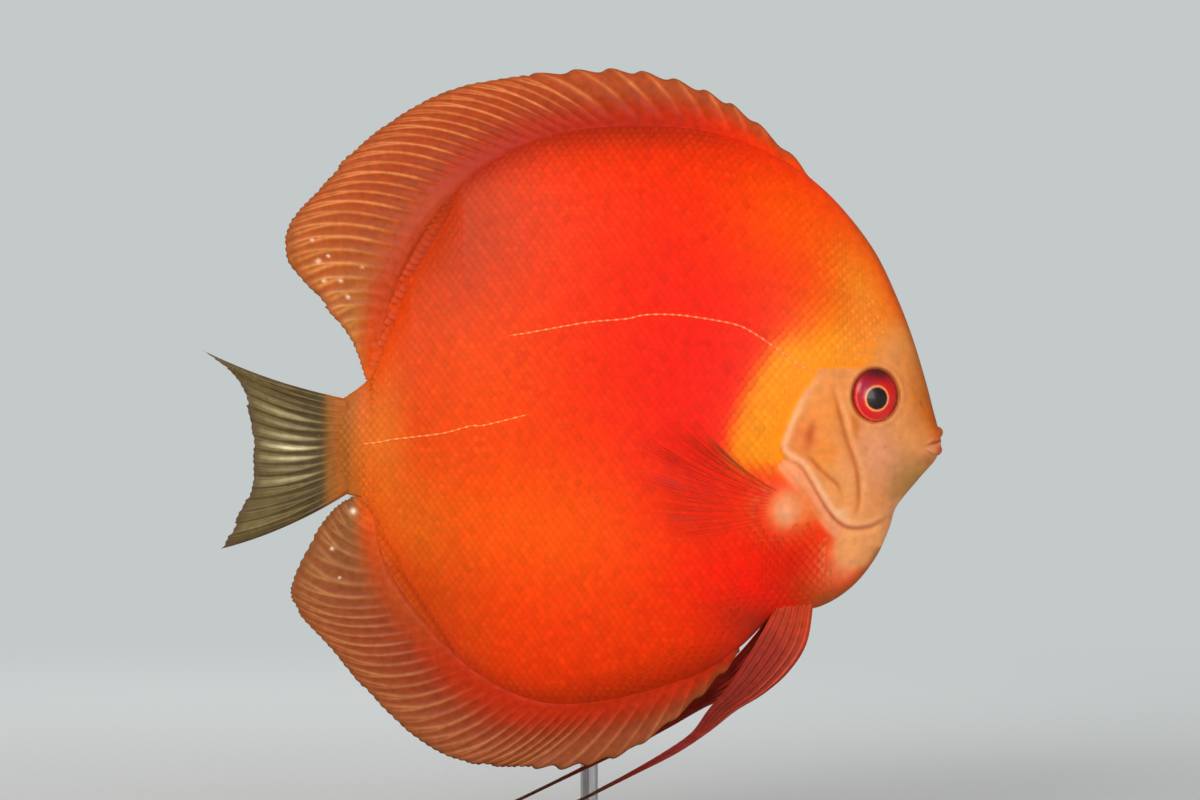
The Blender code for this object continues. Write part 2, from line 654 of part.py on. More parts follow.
def build():
    clear_scene()
    trunk()
    tail_stalk()
    head()
    for name, side in (("left", 1), ("right", -1)):
        gill_cover(f"gill_cover_{name}", side)
        eyeball(f"eye_{name}", side, 0, "iris")
        pectoral_fin(f"pectoral_fin_{name}", side)
        pelvic_fin(f"pelvic_fin_{name}", side, LEFT_PELVIC_SWING if side > 0 else (0, 0))
    median_fin(
        "dorsal_fin", DORSAL_START, DORSAL_END, DORSAL_EDGE,
        DORSAL_SPINES, DORSAL_RAYS, DORSAL_SPINE_SHARE, MEDIAN_ROWS, "fin_red",
    )
    median_fin(
        "anal_fin", ANAL_START, ANAL_END, ANAL_EDGE,
        ANAL_SPINES, ANAL_RAYS, ANAL_SPINE_SHARE, MEDIAN_ROWS, "fin_red",
    )
    caudal_fin()
    stand_base()
    stand_rod()


build()
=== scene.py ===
"""A discus fish, life size, as a still museum model on a plain display stand.

The fish swims along +X in the plane y = 0, its left side towards +Y. Sizes are in millimetres. A
side view point is (x, z) with z from the fish's middle height, and metres() puts it above the floor.
"""

import math

import bpy
import numpy as np
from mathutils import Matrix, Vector


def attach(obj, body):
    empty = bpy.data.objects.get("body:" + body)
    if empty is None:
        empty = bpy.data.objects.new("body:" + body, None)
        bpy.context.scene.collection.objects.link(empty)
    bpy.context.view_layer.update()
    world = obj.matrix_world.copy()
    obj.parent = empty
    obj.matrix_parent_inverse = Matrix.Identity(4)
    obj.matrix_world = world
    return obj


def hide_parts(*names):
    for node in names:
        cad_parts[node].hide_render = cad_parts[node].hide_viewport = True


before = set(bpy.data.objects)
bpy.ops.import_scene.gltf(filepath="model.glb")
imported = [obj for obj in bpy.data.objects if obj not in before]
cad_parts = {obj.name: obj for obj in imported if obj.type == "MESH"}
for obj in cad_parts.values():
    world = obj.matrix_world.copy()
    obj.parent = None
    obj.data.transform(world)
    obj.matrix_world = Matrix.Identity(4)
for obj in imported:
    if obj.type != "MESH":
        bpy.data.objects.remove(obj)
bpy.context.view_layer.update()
scene = bpy.context.scene

# Skin of the head, trunk and tail stalk: one cast resin body, airbrushed from the inside of each
# marking outwards and sealed with a satin varnish. Gill covers, orbits, nostrils and cheek folds are
# modelled in its surface, and the lips are fused on before the mouth is cut.
MM = 0.001
MIDDLE_HEIGHT = 95.5
BODY_RIM = (
    (82.9, 1.2), (82.2, 4.0), (81.3, 7.4), (79.8, 13.2), (77.0, 22.5), (73.6, 31.5), (68.6, 42.0),
    (62.0, 51.0), (55.0, 58.0), (46.5, 63.8), (36.0, 68.8), (24.0, 71.4), (10.0, 71.8), (-3.6, 70.2),
    (-14.4, 66.0),
    (-25.2, 58.7), (-33.6, 49.5), (-39.2, 40.1), (-42.6, 31.0), (-44.3, 22.0), (-44.9, 14.8),
    (-50.4, 10.0), (-55.0, 7.6), (-57.0, -1.0), (-55.0, -9.8), (-50.4, -12.2), (-46.4, -14.0),
    (-45.4, -23.0), (-42.4, -31.5), (-35.5, -41.2), (-27.0, -49.8), (-16.5, -57.0), (-4.0, -60.8),
    (12.0, -59.0), (27.0, -54.0), (38.0, -46.6), (46.5, -38.9), (55.6, -37.6), (63.0, -33.2),
    (68.5, -26.5), (71.6, -19.8), (73.2, -15.0), (78.0, -9.0), (80.3, -6.4), (81.7, -4.8), (82.8, -2.6),
    (83.05, -0.6),
)
RIM_POINTS, WIDTH_POINTS, LINE_POINTS = 1760, 400, 60
# Half of the body's width along its length, then how the swell of the flank narrows toward the tail.
BODY_WIDTHS = (
    (-59.0, 0.1), (-55.0, 0.7), (-50.4, 2.3), (-45.0, 3.2), (-35.0, 5.4), (-20.0, 8.8), (0.0, 11.6),
    (20.0, 12.9), (38.0, 13.2), (52.0, 12.1), (62.0, 9.9), (70.0, 7.5), (76.0, 5.3), (80.0, 3.8),
    (83.4, 2.9),
)
TAPER_TOP = ((-46.0, -44.0, -36.0, -22.0, -14.0), (14.2, 18.0, 39.0, 64.0, 90.0))
TAPER_BOTTOM = ((-47.0, -45.0, -36.0, -22.0, -14.0), (-13.6, -17.0, -35.0, -56.0, -80.0))
FIN_BASE_HALF, BARE_EDGE_HALF = 1.2, 0.5
RIM_WIDTHS = ((-57, -50, 57, 61), (0.1, FIN_BASE_HALF, FIN_BASE_HALF, BARE_EDGE_HALF))
EYE_PLACE, EYE_TURN = (68.0, 10.0), math.radians(22)
ORBIT_REACH = (5.35, 5.95)
GILL_EDGE = (
    (55.6, 17.0), (53.6, 13.2), (51.4, 10.2), (49.5, 6.4), (47.7, 2.0), (46.7, -1.2), (48.0, -3.7),
    (51.1, -5.4), (53.6, -9.0), (57.4, -15.2), (60.2, -18.2), (63.2, -19.3), (67.3, -18.8), (70.6, -17.0),
    (73.4, -14.9),
)
CHEEK_GROOVE = (
    (58.0, 12.5), (59.2, 8.1), (60.2, 4.5), (61.4, 0.0), (62.8, -3.8), (63.7, -7.0), (64.1, -10.3),
    (64.1, -14.4), (63.4, -17.0),
)
PLATE_CREASE = ((52.0, -3.4), (53.6, -4.4), (55.4, -6.4), (57.6, -8.4), (59.4, -10.0), (60.6, -13.2))
SHOULDER_EDGE = ((46.6, -5.2), (49.6, -8.6), (52.6, -11.6), (55.0, -15.4), (57.6, -19.0), (60.6, -21.6))
NOSTRIL_PLACE = (78.6, 8.4)
MERGE_REACH = 0.002
LOBE_PLACE = (48.0, -15.3)
HEAD_PORES = (
    (60.6, 17.4), (64.5, 19.6), (69.0, 20.0), (73.2, 17.2), (75.6, 12.4), (75.6, 5.6), (73.6, 0.6),
    (70.0, -1.6), (66.0, -2.0), (64.8, -6.4), (65.8, -12.0), (69.6, -12.4), (74.2, -8.6),
)


def smooth(points, count, closed=False):
    """Evenly numbered points on a smooth curve through the given ones."""
    given = np.array(points, float)
    if closed:
        padded = np.vstack([given[-1], given, given[:2]])
    else:
        padded = np.vstack([2 * given[0] - given[1], given, 2 * given[-1] - given[-2]])
    spans = len(padded) - 3
    where = np.linspace(0, spans, count, endpoint=not closed)
    span = np.minimum(where.astype(int), spans - 1)
    t = (where - span)[:, None]
    before, start, end, after = (padded[span + step] for step in range(4))
    bend = 2 * before - 5 * start + 4 * end - after
    turn = 3 * start - before - 3 * end + after
    return 0.5 * (2 * start + (end - before) * t + bend * t**2 + turn * t**3)


def metres(x, y, z):
    return np.stack(np.broadcast_arrays(x, y, z + MIDDLE_HEIGHT), axis=-1).reshape(-1, 3) * MM


RIM = smooth(BODY_RIM, RIM_POINTS, closed=True)
rim_from_lip = np.roll(RIM, -int(np.argmax(RIM[:, 0])), axis=0)
rear_index = int(np.argmin(rim_from_lip[:, 0]))
UPPER_RIM, LOWER_RIM = (
    half[np.argsort(half[:, 0])] for half in (rim_from_lip[: rear_index + 1][::-1], rim_from_lip[rear_index:])
)
WIDTHS = smooth(BODY_WIDTHS, WIDTH_POINTS)


def rim_heights(x):
    return np.interp(x, *UPPER_RIM.T), np.interp(x, *LOWER_RIM.T)


def rim_share(z, top, bottom):
    """-1 at the lower rim and 1 at the upper one."""
    return (2 * z - top - bottom) / np.maximum(top - bottom, 1)


def body_half(x, z):
    """Half of the body's thickness at points of the side view. The flank's swell runs out to the tail."""
    top, bottom = rim_heights(x)
    across = np.clip(np.abs(rim_share(z, top, bottom)), 0, 1)
    top, bottom = np.minimum(top, np.interp(x, *TAPER_TOP)), np.maximum(bottom, np.interp(x, *TAPER_BOTTOM))
    swell = np.clip(np.abs(rim_share(z, top, bottom)), 0, 1)
    shape = 0.8 * (1 - swell**2) ** 0.75 + 0.2 * (1 - swell**6) ** 0.5
    edge = np.interp(x, *RIM_WIDTHS) * np.sqrt(1 - across**40)
    return np.hypot(np.interp(x, *WIDTHS.T) * shape, edge)


def off_line(x, z, line):
    """Distance of each point from a line, positive on the line's left, and its share along it."""
    bends = smooth(line, LINE_POINTS)
    starts, steps = bends[:-1], np.diff(bends, axis=0)
    places = np.stack([np.ravel(x), np.ravel(z)], axis=1)
    best, sign, share = np.full(len(places), 1e9), np.ones(len(places)), np.zeros(len(places))
    for index, (start, step) in enumerate(zip(starts, steps)):
        reach = places - start
        along = np.clip(reach @ step / (step @ step), 0, 1)
        gap = reach - along[:, None] * step
        distance = np.hypot(*gap.T)
        nearer = distance < best
        best = np.where(nearer, distance, best)
        turn = np.sign(step[0] * gap[:, 1] - step[1] * gap[:, 0])
        sign = np.where(nearer, turn, sign)
        share = np.where(nearer, (index + along) / len(steps), share)
    return (best * sign).reshape(np.shape(x)), share.reshape(np.shape(x))


def ridge(distance, width):
    """1 on a line, falling away softly to both sides."""
    return np.exp(-((distance / width) ** 2))


def beyond(distance, width):
    """0 well before an edge and 1 well past it."""
    return 0.5 + 0.5 * np.tanh(distance / width)


def blob(x, z, centre, reach, turn=0.0):
    """A soft spot of full strength at its centre, turned anticlockwise by degrees."""
    cos, sin = math.cos(math.radians(turn)), math.sin(math.radians(turn))
    right, up = x - centre[0], z - centre[1]
    return np.exp(-(((right * cos + up * sin) / reach[0]) ** 2 + ((up * cos - right * sin) / reach[1]) ** 2))


def faded_ends(share, start, end):
    """1 along a line, and down to 0 over the first 1 / start and the last 1 / end of it."""
    return np.clip(start * share, 0, 1) * np.clip(end * (1 - share), 0, 1)


def orbit_reach(x, z):
    """Distance from the middle of the eye, 1 at the rim of its orbit."""
    return np.hypot((x - EYE_PLACE[0]) / ORBIT_REACH[0], (z - EYE_PLACE[1]) / ORBIT_REACH[1])


def face_relief(x, z):
    """How far the folds, plates and pits of the face stand out from the plain form, in millimetres."""
    gill, along_gill = off_line(x, z, GILL_EDGE)
    gill = -gill
    groove, along_groove = off_line(x, z, CHEEK_GROOVE)
    crease, along_crease = off_line(x, z, PLATE_CREASE)
    shoulder, along_shoulder = off_line(x, z, SHOULDER_EDGE)
    ends = faded_ends(along_gill, 4, 5)
    low = np.clip(along_gill * 1.6, 0.45, 1)
    raised = 0.5 * low * ends * beyond(-gill, 0.34) * np.exp(-np.maximum(-gill, 0) / 6)
    behind = -0.4 * low * ends * ridge(gill - 0.7, 0.9) * (gill > -0.2)
    fold = 0.26 * ridge(groove - 1.5, 1.3) - 0.28 * ridge(groove, 0.8) + 0.15 * ridge(groove + 1.6, 1.3)
    raised += faded_ends(along_groove, 6, 6) * fold
    fold = -0.3 * ridge(crease, 0.45) + 0.18 * ridge(crease - 0.9, 0.7)
    raised += faded_ends(along_crease, 5, 5) * fold
    fold = 0.55 * ridge(shoulder - 1.2, 1.5) - 0.25 * ridge(shoulder + 0.6, 0.7)
    raised += faded_ends(along_shoulder, 6, 6) * fold
    orbit = orbit_reach(x, z)
    raised += 0.3 * ridge(orbit - 1.12, 0.1) - 0.05 * ridge(orbit - 1.36, 0.14)
    raised -= 2.2 * beyond(0.92 - orbit, 0.03)
    nostril = np.hypot(x - NOSTRIL_PLACE[0], (z - NOSTRIL_PLACE[1]) * 0.9)
    raised += 0.16 * ridge(nostril - 0.7, 0.3) - 0.35 * ridge(nostril, 0.36)
    for pore in HEAD_PORES:
        place = np.hypot(x - pore[0], z - pore[1])
        raised += 0.04 * ridge(place - 0.55, 0.25) - 0.14 * ridge(place, 0.3)
    raised += 0.95 * blob(x, z, LOBE_PLACE, (4.4, 5.0), -12)
    raised += 0.5 * blob(x, z, (70.0, -5.5), (6.5, 7.5)) + 0.3 * blob(x, z, (56.5, 3.0), (3.4, 7.0), -12)
    raised += 0.22 * blob(x, z, (75.4, 14.4), (0.8, 5.0), 12) - 0.2 * blob(x, z, (78.2, -4.6), (0.5, 2.6), 30)
    return raised + behind


def marching(stops, spacings):
    """Places from the first stop to the last, with a spacing that changes from stop to stop."""
    places = [stops[0]]
    while places[-1] < stops[-1]:
        places.append(places[-1] + float(np.interp(places[-1], stops, spacings)))
    return np.array(places[:-1] + [stops[-1]])


def raw_points(piece):
    """A piece's points in metres, one in a row."""
    flat = np.empty(len(piece.data.vertices) * 3, np.float32)
    piece.data.vertices.foreach_get("co", flat)
    return flat.reshape(-1, 3)


def lay_points(piece, places):
    piece.data.vertices.foreach_set("co", places.astype(np.float32).ravel())


def select_only(piece):
    bpy.ops.object.select_all(action="DESELECT")
    piece.select_set(True)
    bpy.context.view_layer.objects.active = piece


def shade_by_angle(piece, degrees):
    select_only(piece)
    bpy.ops.object.shade_smooth_by_angle(angle=math.radians(degrees))


def grid_piece(name, x, y, z):
    """A grid primitive laid on the given places, and the row and column of each of its points."""
    rows, columns = x.shape
    bpy.ops.object.select_all(action="DESELECT")
    bpy.ops.mesh.primitive_grid_add(x_subdivisions=columns - 1, y_subdivisions=rows - 1, size=2)
    piece = bpy.context.object
    piece.name = piece.data.name = name
    right, up, _ = raw_points(piece).T
    column = np.rint((right + 1) / 2 * (columns - 1)).astype(int)
    row = np.rint((up + 1) / 2 * (rows - 1)).astype(int)
    lay_points(piece, metres(x, y, z).reshape(rows, columns, 3)[row, column])
    return piece, (row, column)


def close_up(piece):
    """Merges doubles and turns the faces outwards."""
    select_only(piece)
    bpy.ops.object.mode_set(mode="EDIT")
    bpy.ops.mesh.select_all(action="SELECT")
    bpy.ops.mesh.remove_doubles(threshold=MERGE_REACH * MM)
    bpy.ops.mesh.dissolve_degenerate(threshold=MERGE_REACH * MM / 4)
    bpy.ops.mesh.normals_make_consistent(inside=False)
    bpy.ops.object.mode_set(mode="OBJECT")


def joined(piece, others, operation):
    """Fuses or cuts a closed piece with others, and removes them. It does nothing to an open one."""
    for other in others:
        modifier = piece.modifiers.new(operation, "BOOLEAN")
        modifier.operation = operation
        modifier.object = other
        modifier.solver = "MANIFOLD"
        bpy.context.view_layer.objects.active = piece
        bpy.ops.object.modifier_apply(modifier=modifier.name)
        bpy.data.objects.remove(other)


def points_of(piece):
    """Side view x, y and z of a piece's points in millimetres."""
    x, y, z = raw_points(piece).T.astype(float) / MM
    return x, y, z - MIDDLE_HEIGHT


def painted(piece, colours):
    """Stores a linear colour, with or without its opacity, for each point as the materials read it."""
    paint = piece.data.color_attributes.new("paint", "FLOAT_COLOR", "POINT")
    rgba = np.ones((len(colours), 4), np.float32)
    rgba[:, : colours.shape[1]] = colours
    paint.data.foreach_set("color", rgba.ravel())


# The skin's grid: its columns stand closest on the face and at both ends, its rows toward the rim.
COLUMN_STOPS = (-57.0, -56.6, -55.0, -52.0, 43.0, 46.0, 79.0, 83.0)
COLUMN_SPACINGS = (0.05, 0.2, 0.5, 0.95, 0.95, 0.45, 0.42, 0.14)
SKIN_ROWS, ROWS_CLOSE_IN = 193, 1.3
SKIN_DEPTH, RIM_FADE = 0.08, 1.2
TAIL_SQUASH = ((-56.5, -50), (0.14, 1))
FACE_FROM, FACE_FADE = 38, 4
SNOUT_TIP = (82.6, -0.7)

skin_x = marching(COLUMN_STOPS, COLUMN_SPACINGS)
row_share = np.linspace(-1, 1, SKIN_ROWS)
row_across = np.sign(row_share) * (1 - (1 - np.abs(row_share)) ** ROWS_CLOSE_IN)
top, bottom = rim_heights(skin_x)
across, skin_columns = np.meshgrid(row_across, skin_x, indexing="ij")
skin_z = (top + bottom) / 2 + across * (top - bottom) / 2


def scale_cover(x, z):
    """1 where scales lie, fading to 0 on the bare face, throat and tail fin."""
    gill, _ = off_line(x, z, GILL_EDGE)
    behind = beyond(-gill - 0.9, 0.3) * (z < 16.5)
    nape = beyond(64.5 + 0.72 * (z - 16) - x, 0.8) * (z >= 16.5)
    throat = 1 - beyond(x - 58.0 + 0.1 * (z + 20), 0.8) * (z < 0)
    throat = throat * (1 - beyond(blob(x, z, LOBE_PLACE, (4.6, 5.4), -12) - 0.27, 0.05))
    shoulder, share = off_line(x, z, SHOULDER_EDGE)
    band = beyond(shoulder + 1.2 + 2.4 * np.sin(np.pi * share), 0.2)
    band = band * (share > 0) * (share < 1) * (shoulder < 8)
    return (behind + nape) * throat * (1 - band) * beyond(x + 53.0, 0.8)


def flank_height(x, z):
    """Half thickness of the finished skin, with its folds, under the scales."""
    inset = SKIN_DEPTH * scale_cover(x, z)
    return body_half(x, z) - inset + face_relief(x, z) * np.clip((x - FACE_FROM) / FACE_FADE, 0, 1)


head_columns = skin_x > FACE_FROM
skin_half = body_half(skin_columns, skin_z)
covered = scale_cover(skin_columns, skin_z)
rim_fade = np.clip((1 - np.abs(across)) * (top - bottom) / 2 / RIM_FADE, 0, 1)
skin_half = np.maximum(skin_half - SKIN_DEPTH * covered * rim_fade, 0) * np.interp(skin_columns, *TAIL_SQUASH)
folds = np.zeros_like(skin_half)
folds[:, head_columns] = face_relief(skin_columns[:, head_columns], skin_z[:, head_columns])
skin_half = skin_half + folds * rim_fade
wrap_x = np.vstack([skin_columns, skin_columns[::-1][1:]])
wrap_z = np.vstack([skin_z, skin_z[::-1][1:]])
wrap_y = np.vstack([skin_half, -skin_half[::-1][1:]])
wrap_y[[0, SKIN_ROWS - 1, -1]] = 0
snout = np.ones((len(wrap_x), 1))
wrap_x = np.hstack([wrap_x, snout * SNOUT_TIP[0]])
wrap_y = np.hstack([wrap_y, snout * 0])
wrap_z = np.hstack([wrap_z, snout * SNOUT_TIP[1]])
wrap_y[:, 0] = 0
skin, _ = grid_piece("fish_skin", wrap_x, wrap_y, wrap_z)
close_up(skin)

# The lips: two soft rolls that meet at the corner of the mouth, with the slit cut between them.
UPPER_LIP = ((79.4, 3.4, -1.2), (80.6, 3.0, -0.1), (81.8, 2.0, 1.2), (82.35, 0.0, 1.7))
LOWER_LIP = ((79.4, 3.3, -1.7), (80.5, 2.9, -2.2), (81.5, 1.9, -2.4), (82.15, 0.0, -2.2))
LIP_RADII, LIP_STEPS = (0.0, 0.6, 0.95, 1.2, 1.35), 49
MOUTH_SLIT_PLACE, MOUTH_SLIT_REACH, MOUTH_SLIT_DROP = (85.6, -0.2), (3.5, 6.0, 0.24), math.radians(-10)
SNOUT_FOLD, FOLD_RADII = ((79.6, 2.9, 4.6), (80.4, 2.1, 5.0), (80.5, 0.0, 5.2)), (0.0, 0.8, 1.25)


def tube(name, path, radii, up=(0, 0, 1), sides=14):
    """A closed tube round a path, which ends in a point where its radius is 0."""
    path, radii = np.array(path, float), np.array(radii, float)
    step = np.gradient(path, axis=0)
    side = np.cross(step, up)
    side /= np.linalg.norm(side, axis=1)[:, None]
    rise = np.cross(side, step)
    rise /= np.linalg.norm(rise, axis=1)[:, None]
    turn = np.linspace(0, 2 * np.pi, sides + 1)[:, None, None]
    places = path + radii[:, None] * (np.cos(turn) * side + np.sin(turn) * rise)
    piece, _ = grid_piece(name, *np.moveaxis(places, -1, 0))
    close_up(piece)
    return piece


def lip(name, half_path, radii=LIP_RADII):
    """A roll across the snout, from its left half, given from the corner of the mouth to the middle."""
    half = np.array(half_path)
    path = smooth(np.vstack([half, half[-2::-1] * (1, -1, 1)]), LIP_STEPS)
    share = 1 - np.abs(np.linspace(-1, 1, LIP_STEPS))
    return tube(name, path, np.interp(share, np.linspace(0, 1, len(radii)), radii), sides=20)


bpy.ops.object.select_all(action="DESELECT")
bpy.ops.mesh.primitive_uv_sphere_add(segments=48, ring_count=24, radius=MM)
mouth = bpy.context.object
mouth.scale = MOUTH_SLIT_REACH
mouth.rotation_euler = (0, MOUTH_SLIT_DROP, 0)
mouth.location = Vector((MOUTH_SLIT_PLACE[0], 0, MOUTH_SLIT_PLACE[1] + MIDDLE_HEIGHT)) * MM
bpy.ops.object.transform_apply(location=True, rotation=True, scale=True)
joined(skin, [lip("upper_lip", UPPER_LIP), lip("lower_lip", LOWER_LIP)], "UNION")
joined(skin, [lip("snout_fold", SNOUT_FOLD, FOLD_RADII)], "UNION")
joined(skin, [mouth], "DIFFERENCE")

FOREHEAD = ((60.0, 52.6), (68.6, 42.0), (73.6, 31.5), (77.0, 22.5), (79.8, 13.5), (81.5, 7.4), (82.8, 3.0))
# Airbrushed spots of the body and then of the face: centre, reach, turn in degrees, colour, strength.
# Among the face's spots, the thin dark line at the mouth is painted shade in the slit between the lips,
# and the pale spot low on the gill cover is a painted highlight.
BODY_SPOTS = (
    ((0, -18), (36, 17), 0, "#FC5202", 0.9), ((-18, 12), (16, 22), 0, "#F24402", 0.7),
    ((30, 16), (24, 42), 8, "#F31203", 1.0), ((40, -32), (15, 12), -20, "#FF1806", 1.0),
    ((-34, -20), (11, 13), 20, "#DE5C0C", 0.8), ((-24, 47), (17, 16), 40, "#BE3000", 0.9),
    ((-30, -36), (14, 9), -40, "#C83A04", 0.7), ((52, 50), (15, 14), -40, "#FC4A03", 0.85),
    ((53, -28), (9, 7), -30, "#D81204", 0.7), ((58, -37), (8, 5), -35, "#A84818", 0.8),
    ((46, -44), (12, 5), -30, "#9A2C18", 0.8),
)
HEAD_SPOTS = (
    ((60, 21), (9, 10), 30, "#FE8C04", 0.95), ((66, 33), (8, 15), 20, "#F07E1C", 0.95),
    ((71, 21), (7, 8), 0, "#EA8628", 0.9),
)
FACE_SPOTS = (
    ((56, 5), (5, 8), -10, "#EC8C3A", 0.9), ((51.5, 0), (3, 5), 0, "#DE7634", 0.8),
    ((57, -3), (3, 3), 0, "#F28524", 0.7), ((61, -11), (4, 6), 30, "#EC9A56", 0.9),
    ((70, -3), (8, 9), 0, "#DD926A", 0.95), ((74, 1), (4, 4), 0, "#DE914C", 0.5),
    ((79, 9), (4.2, 10), 15, "#C06A26", 0.9), ((77, -9), (5, 6), -40, "#AA7A40", 0.95),
    ((67, -22.5), (7.5, 5), 25, "#E8944E", 1.0), ((62.5, -25), (4.5, 8), -28, "#F0A06A", 0.95),
    ((63.4, 5), (1.3, 5.5), -8, "#C8641E", 0.65), ((81.0, 5.0), (1.6, 4.0), 20, "#BC5414", 0.85),
    ((82.4, 1.6), (1.7, 1.8), 0, "#C05A1C", 0.95),
    ((82.9, -2.4), (1.3, 1.5), 0, "#C85030", 0.95), ((80.8, -2.0), (1.6, 1.6), 0, "#D08A60", 0.7),
    # The first spot here is painted shade in the mouth's slit between the lips.
    ((82.0, -0.4), (1.9, 0.35), 18, "#7A2C18", 0.85), ((80.0, -4.6), (1.6, 1.4), 40, "#A86A3C", 0.7),
    # The second spot here is a painted highlight on the lower gill cover.
    ((53.2, 1.2), (0.9, 2.8), -12, "#B4481C", 0.75), ((60.2, -16.6), (2.4, 1.2), 20, "#F8C09A", 0.6),
)


def shade(name):
    """An sRGB hex colour as shares of red, green and blue."""
    return np.array([int(name[at : at + 2], 16) / 255 for at in (1, 3, 5)])


def over(colours, name, mask):
    """Lays a colour over others where its mask is 1."""
    return colours + (shade(name) - colours) * np.clip(mask, 0, 1)[..., None]


def spotted(colours, x, z, spots, mask=1):
    """Airbrushes a list of spots over others where the mask is 1."""
    for centre, reach, turn, name, strength in spots:
        colours = over(colours, name, strength * blob(x, z, centre, reach, turn) * mask)
    return colours


def skin_paint(x, z):
    """The sRGB colour of the fish at points of its side view, with painted shade in its creases, pits and
    seams and a few painted highlights.
    """
    top, bottom = rim_heights(x)
    gill, along_gill = off_line(x, z, GILL_EDGE)
    groove, along_groove = off_line(x, z, CHEEK_GROOVE)
    crease, along_crease = off_line(x, z, PLATE_CREASE)
    shoulder, along_shoulder = off_line(x, z, SHOULDER_EDGE)
    forehead, _ = off_line(x, z, FOREHEAD)
    colours = np.broadcast_to(shade("#F43203"), np.shape(x) + (3,))
    colours = over(colours, "#DA3C02", beyond(-20 - x, 9))
    colours = spotted(colours, x, z, BODY_SPOTS)
    colours = over(colours, "#A8240E", ridge(top - z, 6.5) * beyond(32 - x, 12) * beyond(x + 44, 5))
    colours = over(colours, "#B8501C", 0.6 * ridge(top - z, 6.0) * beyond(-24 - x, 5) * (z > 0))
    colours = over(colours, "#B02C10", 0.8 * ridge(z - bottom, 6.0) * beyond(36 - x, 6))
    colours = over(colours, "#A85A24", 0.6 * ridge(z - bottom, 6.0) * beyond(-30 - x, 5) * (z < 0))
    colours = over(colours, "#E26517", beyond(-36 - x, 3) * ridge(z, 17))
    colours = over(colours, "#A85C20", beyond(-47.5 - x, 2))
    side = beyond(9.5 + gill, 2.2) * np.clip((z + 10) / 6, 0, 1) * np.clip((26 - z) / 6, 0, 1)
    colours = over(colours, "#FE8C03", side)
    colours = spotted(colours, x, z, HEAD_SPOTS)
    cheek = beyond(gill, 0.25) * (z < 16)
    brow = beyond(x - 66 - (z - 16) * 0.5, 2.2) * (z >= 16) * beyond(26 - z, 4)
    colours = over(colours, "#DF8C4C", cheek + brow)
    colours = spotted(colours, x, z, FACE_SPOTS, np.maximum(cheek + brow, z < -18))
    ends = faded_ends(along_shoulder, 6, 4)
    colours = over(colours, "#F0A078", 0.9 * ends * ridge(shoulder - 1.2, 1.5))
    beside = (along_shoulder > 0) * (along_shoulder < 1) * (shoulder < 9)
    colours = over(colours, "#F09A6C", 0.9 * beyond(shoulder + 1.2, 0.5) * beyond(-gill, 0.3) * beside)
    behind_lobe = blob(x, z, (52.5, -14.5), (3.6, 4.8), 30)
    colours = over(colours, "#E47430", 0.85 * behind_lobe * beyond(-shoulder, 0.6))
    colours = over(colours, "#EA8A54", blob(x, z, LOBE_PLACE, (4.6, 5.2), -12) * 1.3)
    # Painted highlight on the fleshy lobe of the pectoral fin.
    colours = over(colours, "#F4B492", 0.55 * blob(x, z, (47.8, -16.2), (1.9, 2.3)))
    throat = beyond(blob(x, z, (66.4, -22.6), (8.4, 6.0), 28) - 0.42, 0.09) * beyond(-gill, 0.3)
    colours = over(colours, "#EC9C5E", throat)
    colours = over(colours, "#E0925A", beyond(blob(x, z, (73.0, -17.4), (3.4, 3.8)) - 0.3, 0.1))
    colours = over(colours, "#A0501E", 0.75 * ridge(z - bottom, 2.0) * beyond(x - 54, 2) * (z < -24))
    ends = faded_ends(along_gill, 5, 3)
    low = np.clip(2.4 * along_gill - 0.7, 0, 1)
    # Painted shadow in the dent behind the gill cover's raised edge.
    colours = over(colours, "#8C3414", 0.7 * low * ends * ridge(gill + 0.35, 0.4))
    colours = over(colours, "#F8BE94", 0.65 * ends * ridge(gill - 0.7, 0.8))
    ends = faded_ends(along_groove, 6, 6)
    # Painted shade in the cheek groove.
    colours = over(colours, "#B0561E", 0.7 * ends * ridge(groove, 0.5))
    colours = over(colours, "#F0A870", 0.5 * ends * ridge(groove - 1.3, 0.7))
    ends = faded_ends(along_crease, 5, 5)
    # Painted shade in the crease of the lower gill plate.
    colours = over(colours, "#B4581F", 0.6 * ends * ridge(crease, 0.45))
    colours = over(colours, "#B0500F", 0.55 * ridge(forehead, 1.1) * beyond(x - 63, 2.5) * beyond(z - 5, 2))
    orbit = orbit_reach(x, z)
    # Painted shade in the seam where the skin meets the eye.
    colours = over(colours, "#8A3A18", 0.7 * ridge(orbit - 1.0, 0.05))
    # Painted shadow of the orbit's rim on its upper side toward the tail.
    behind_above = beyond(EYE_PLACE[0] - x + z - EYE_PLACE[1] - 2, 2)
    colours = over(colours, "#7A3018", 0.6 * ridge(orbit - 1.04, 0.07) * behind_above)
    colours = over(colours, "#E89858", 0.5 * ridge(orbit - 1.16, 0.07))
    nostril = np.hypot(x - NOSTRIL_PLACE[0], z - NOSTRIL_PLACE[1])
    # Painted shade in the nostril's pit.
    colours = over(colours, "#8A4014", 0.5 * ridge(nostril, 0.4))
    # Painted shade in the pit of each head pore.
    for pore in HEAD_PORES:
        colours = over(colours, "#B06A34", 0.4 * ridge(np.hypot(x - pore[0], z - pore[1]), 0.35))
    return colours


def linear(colours):
    """sRGB shares, or one hex colour, as linear red, green and blue."""
    shares = shade(colours) if isinstance(colours, str) else colours
    return np.where(shares <= 0.04045, shares / 12.92, ((shares + 0.055) / 1.055) ** 2.4)


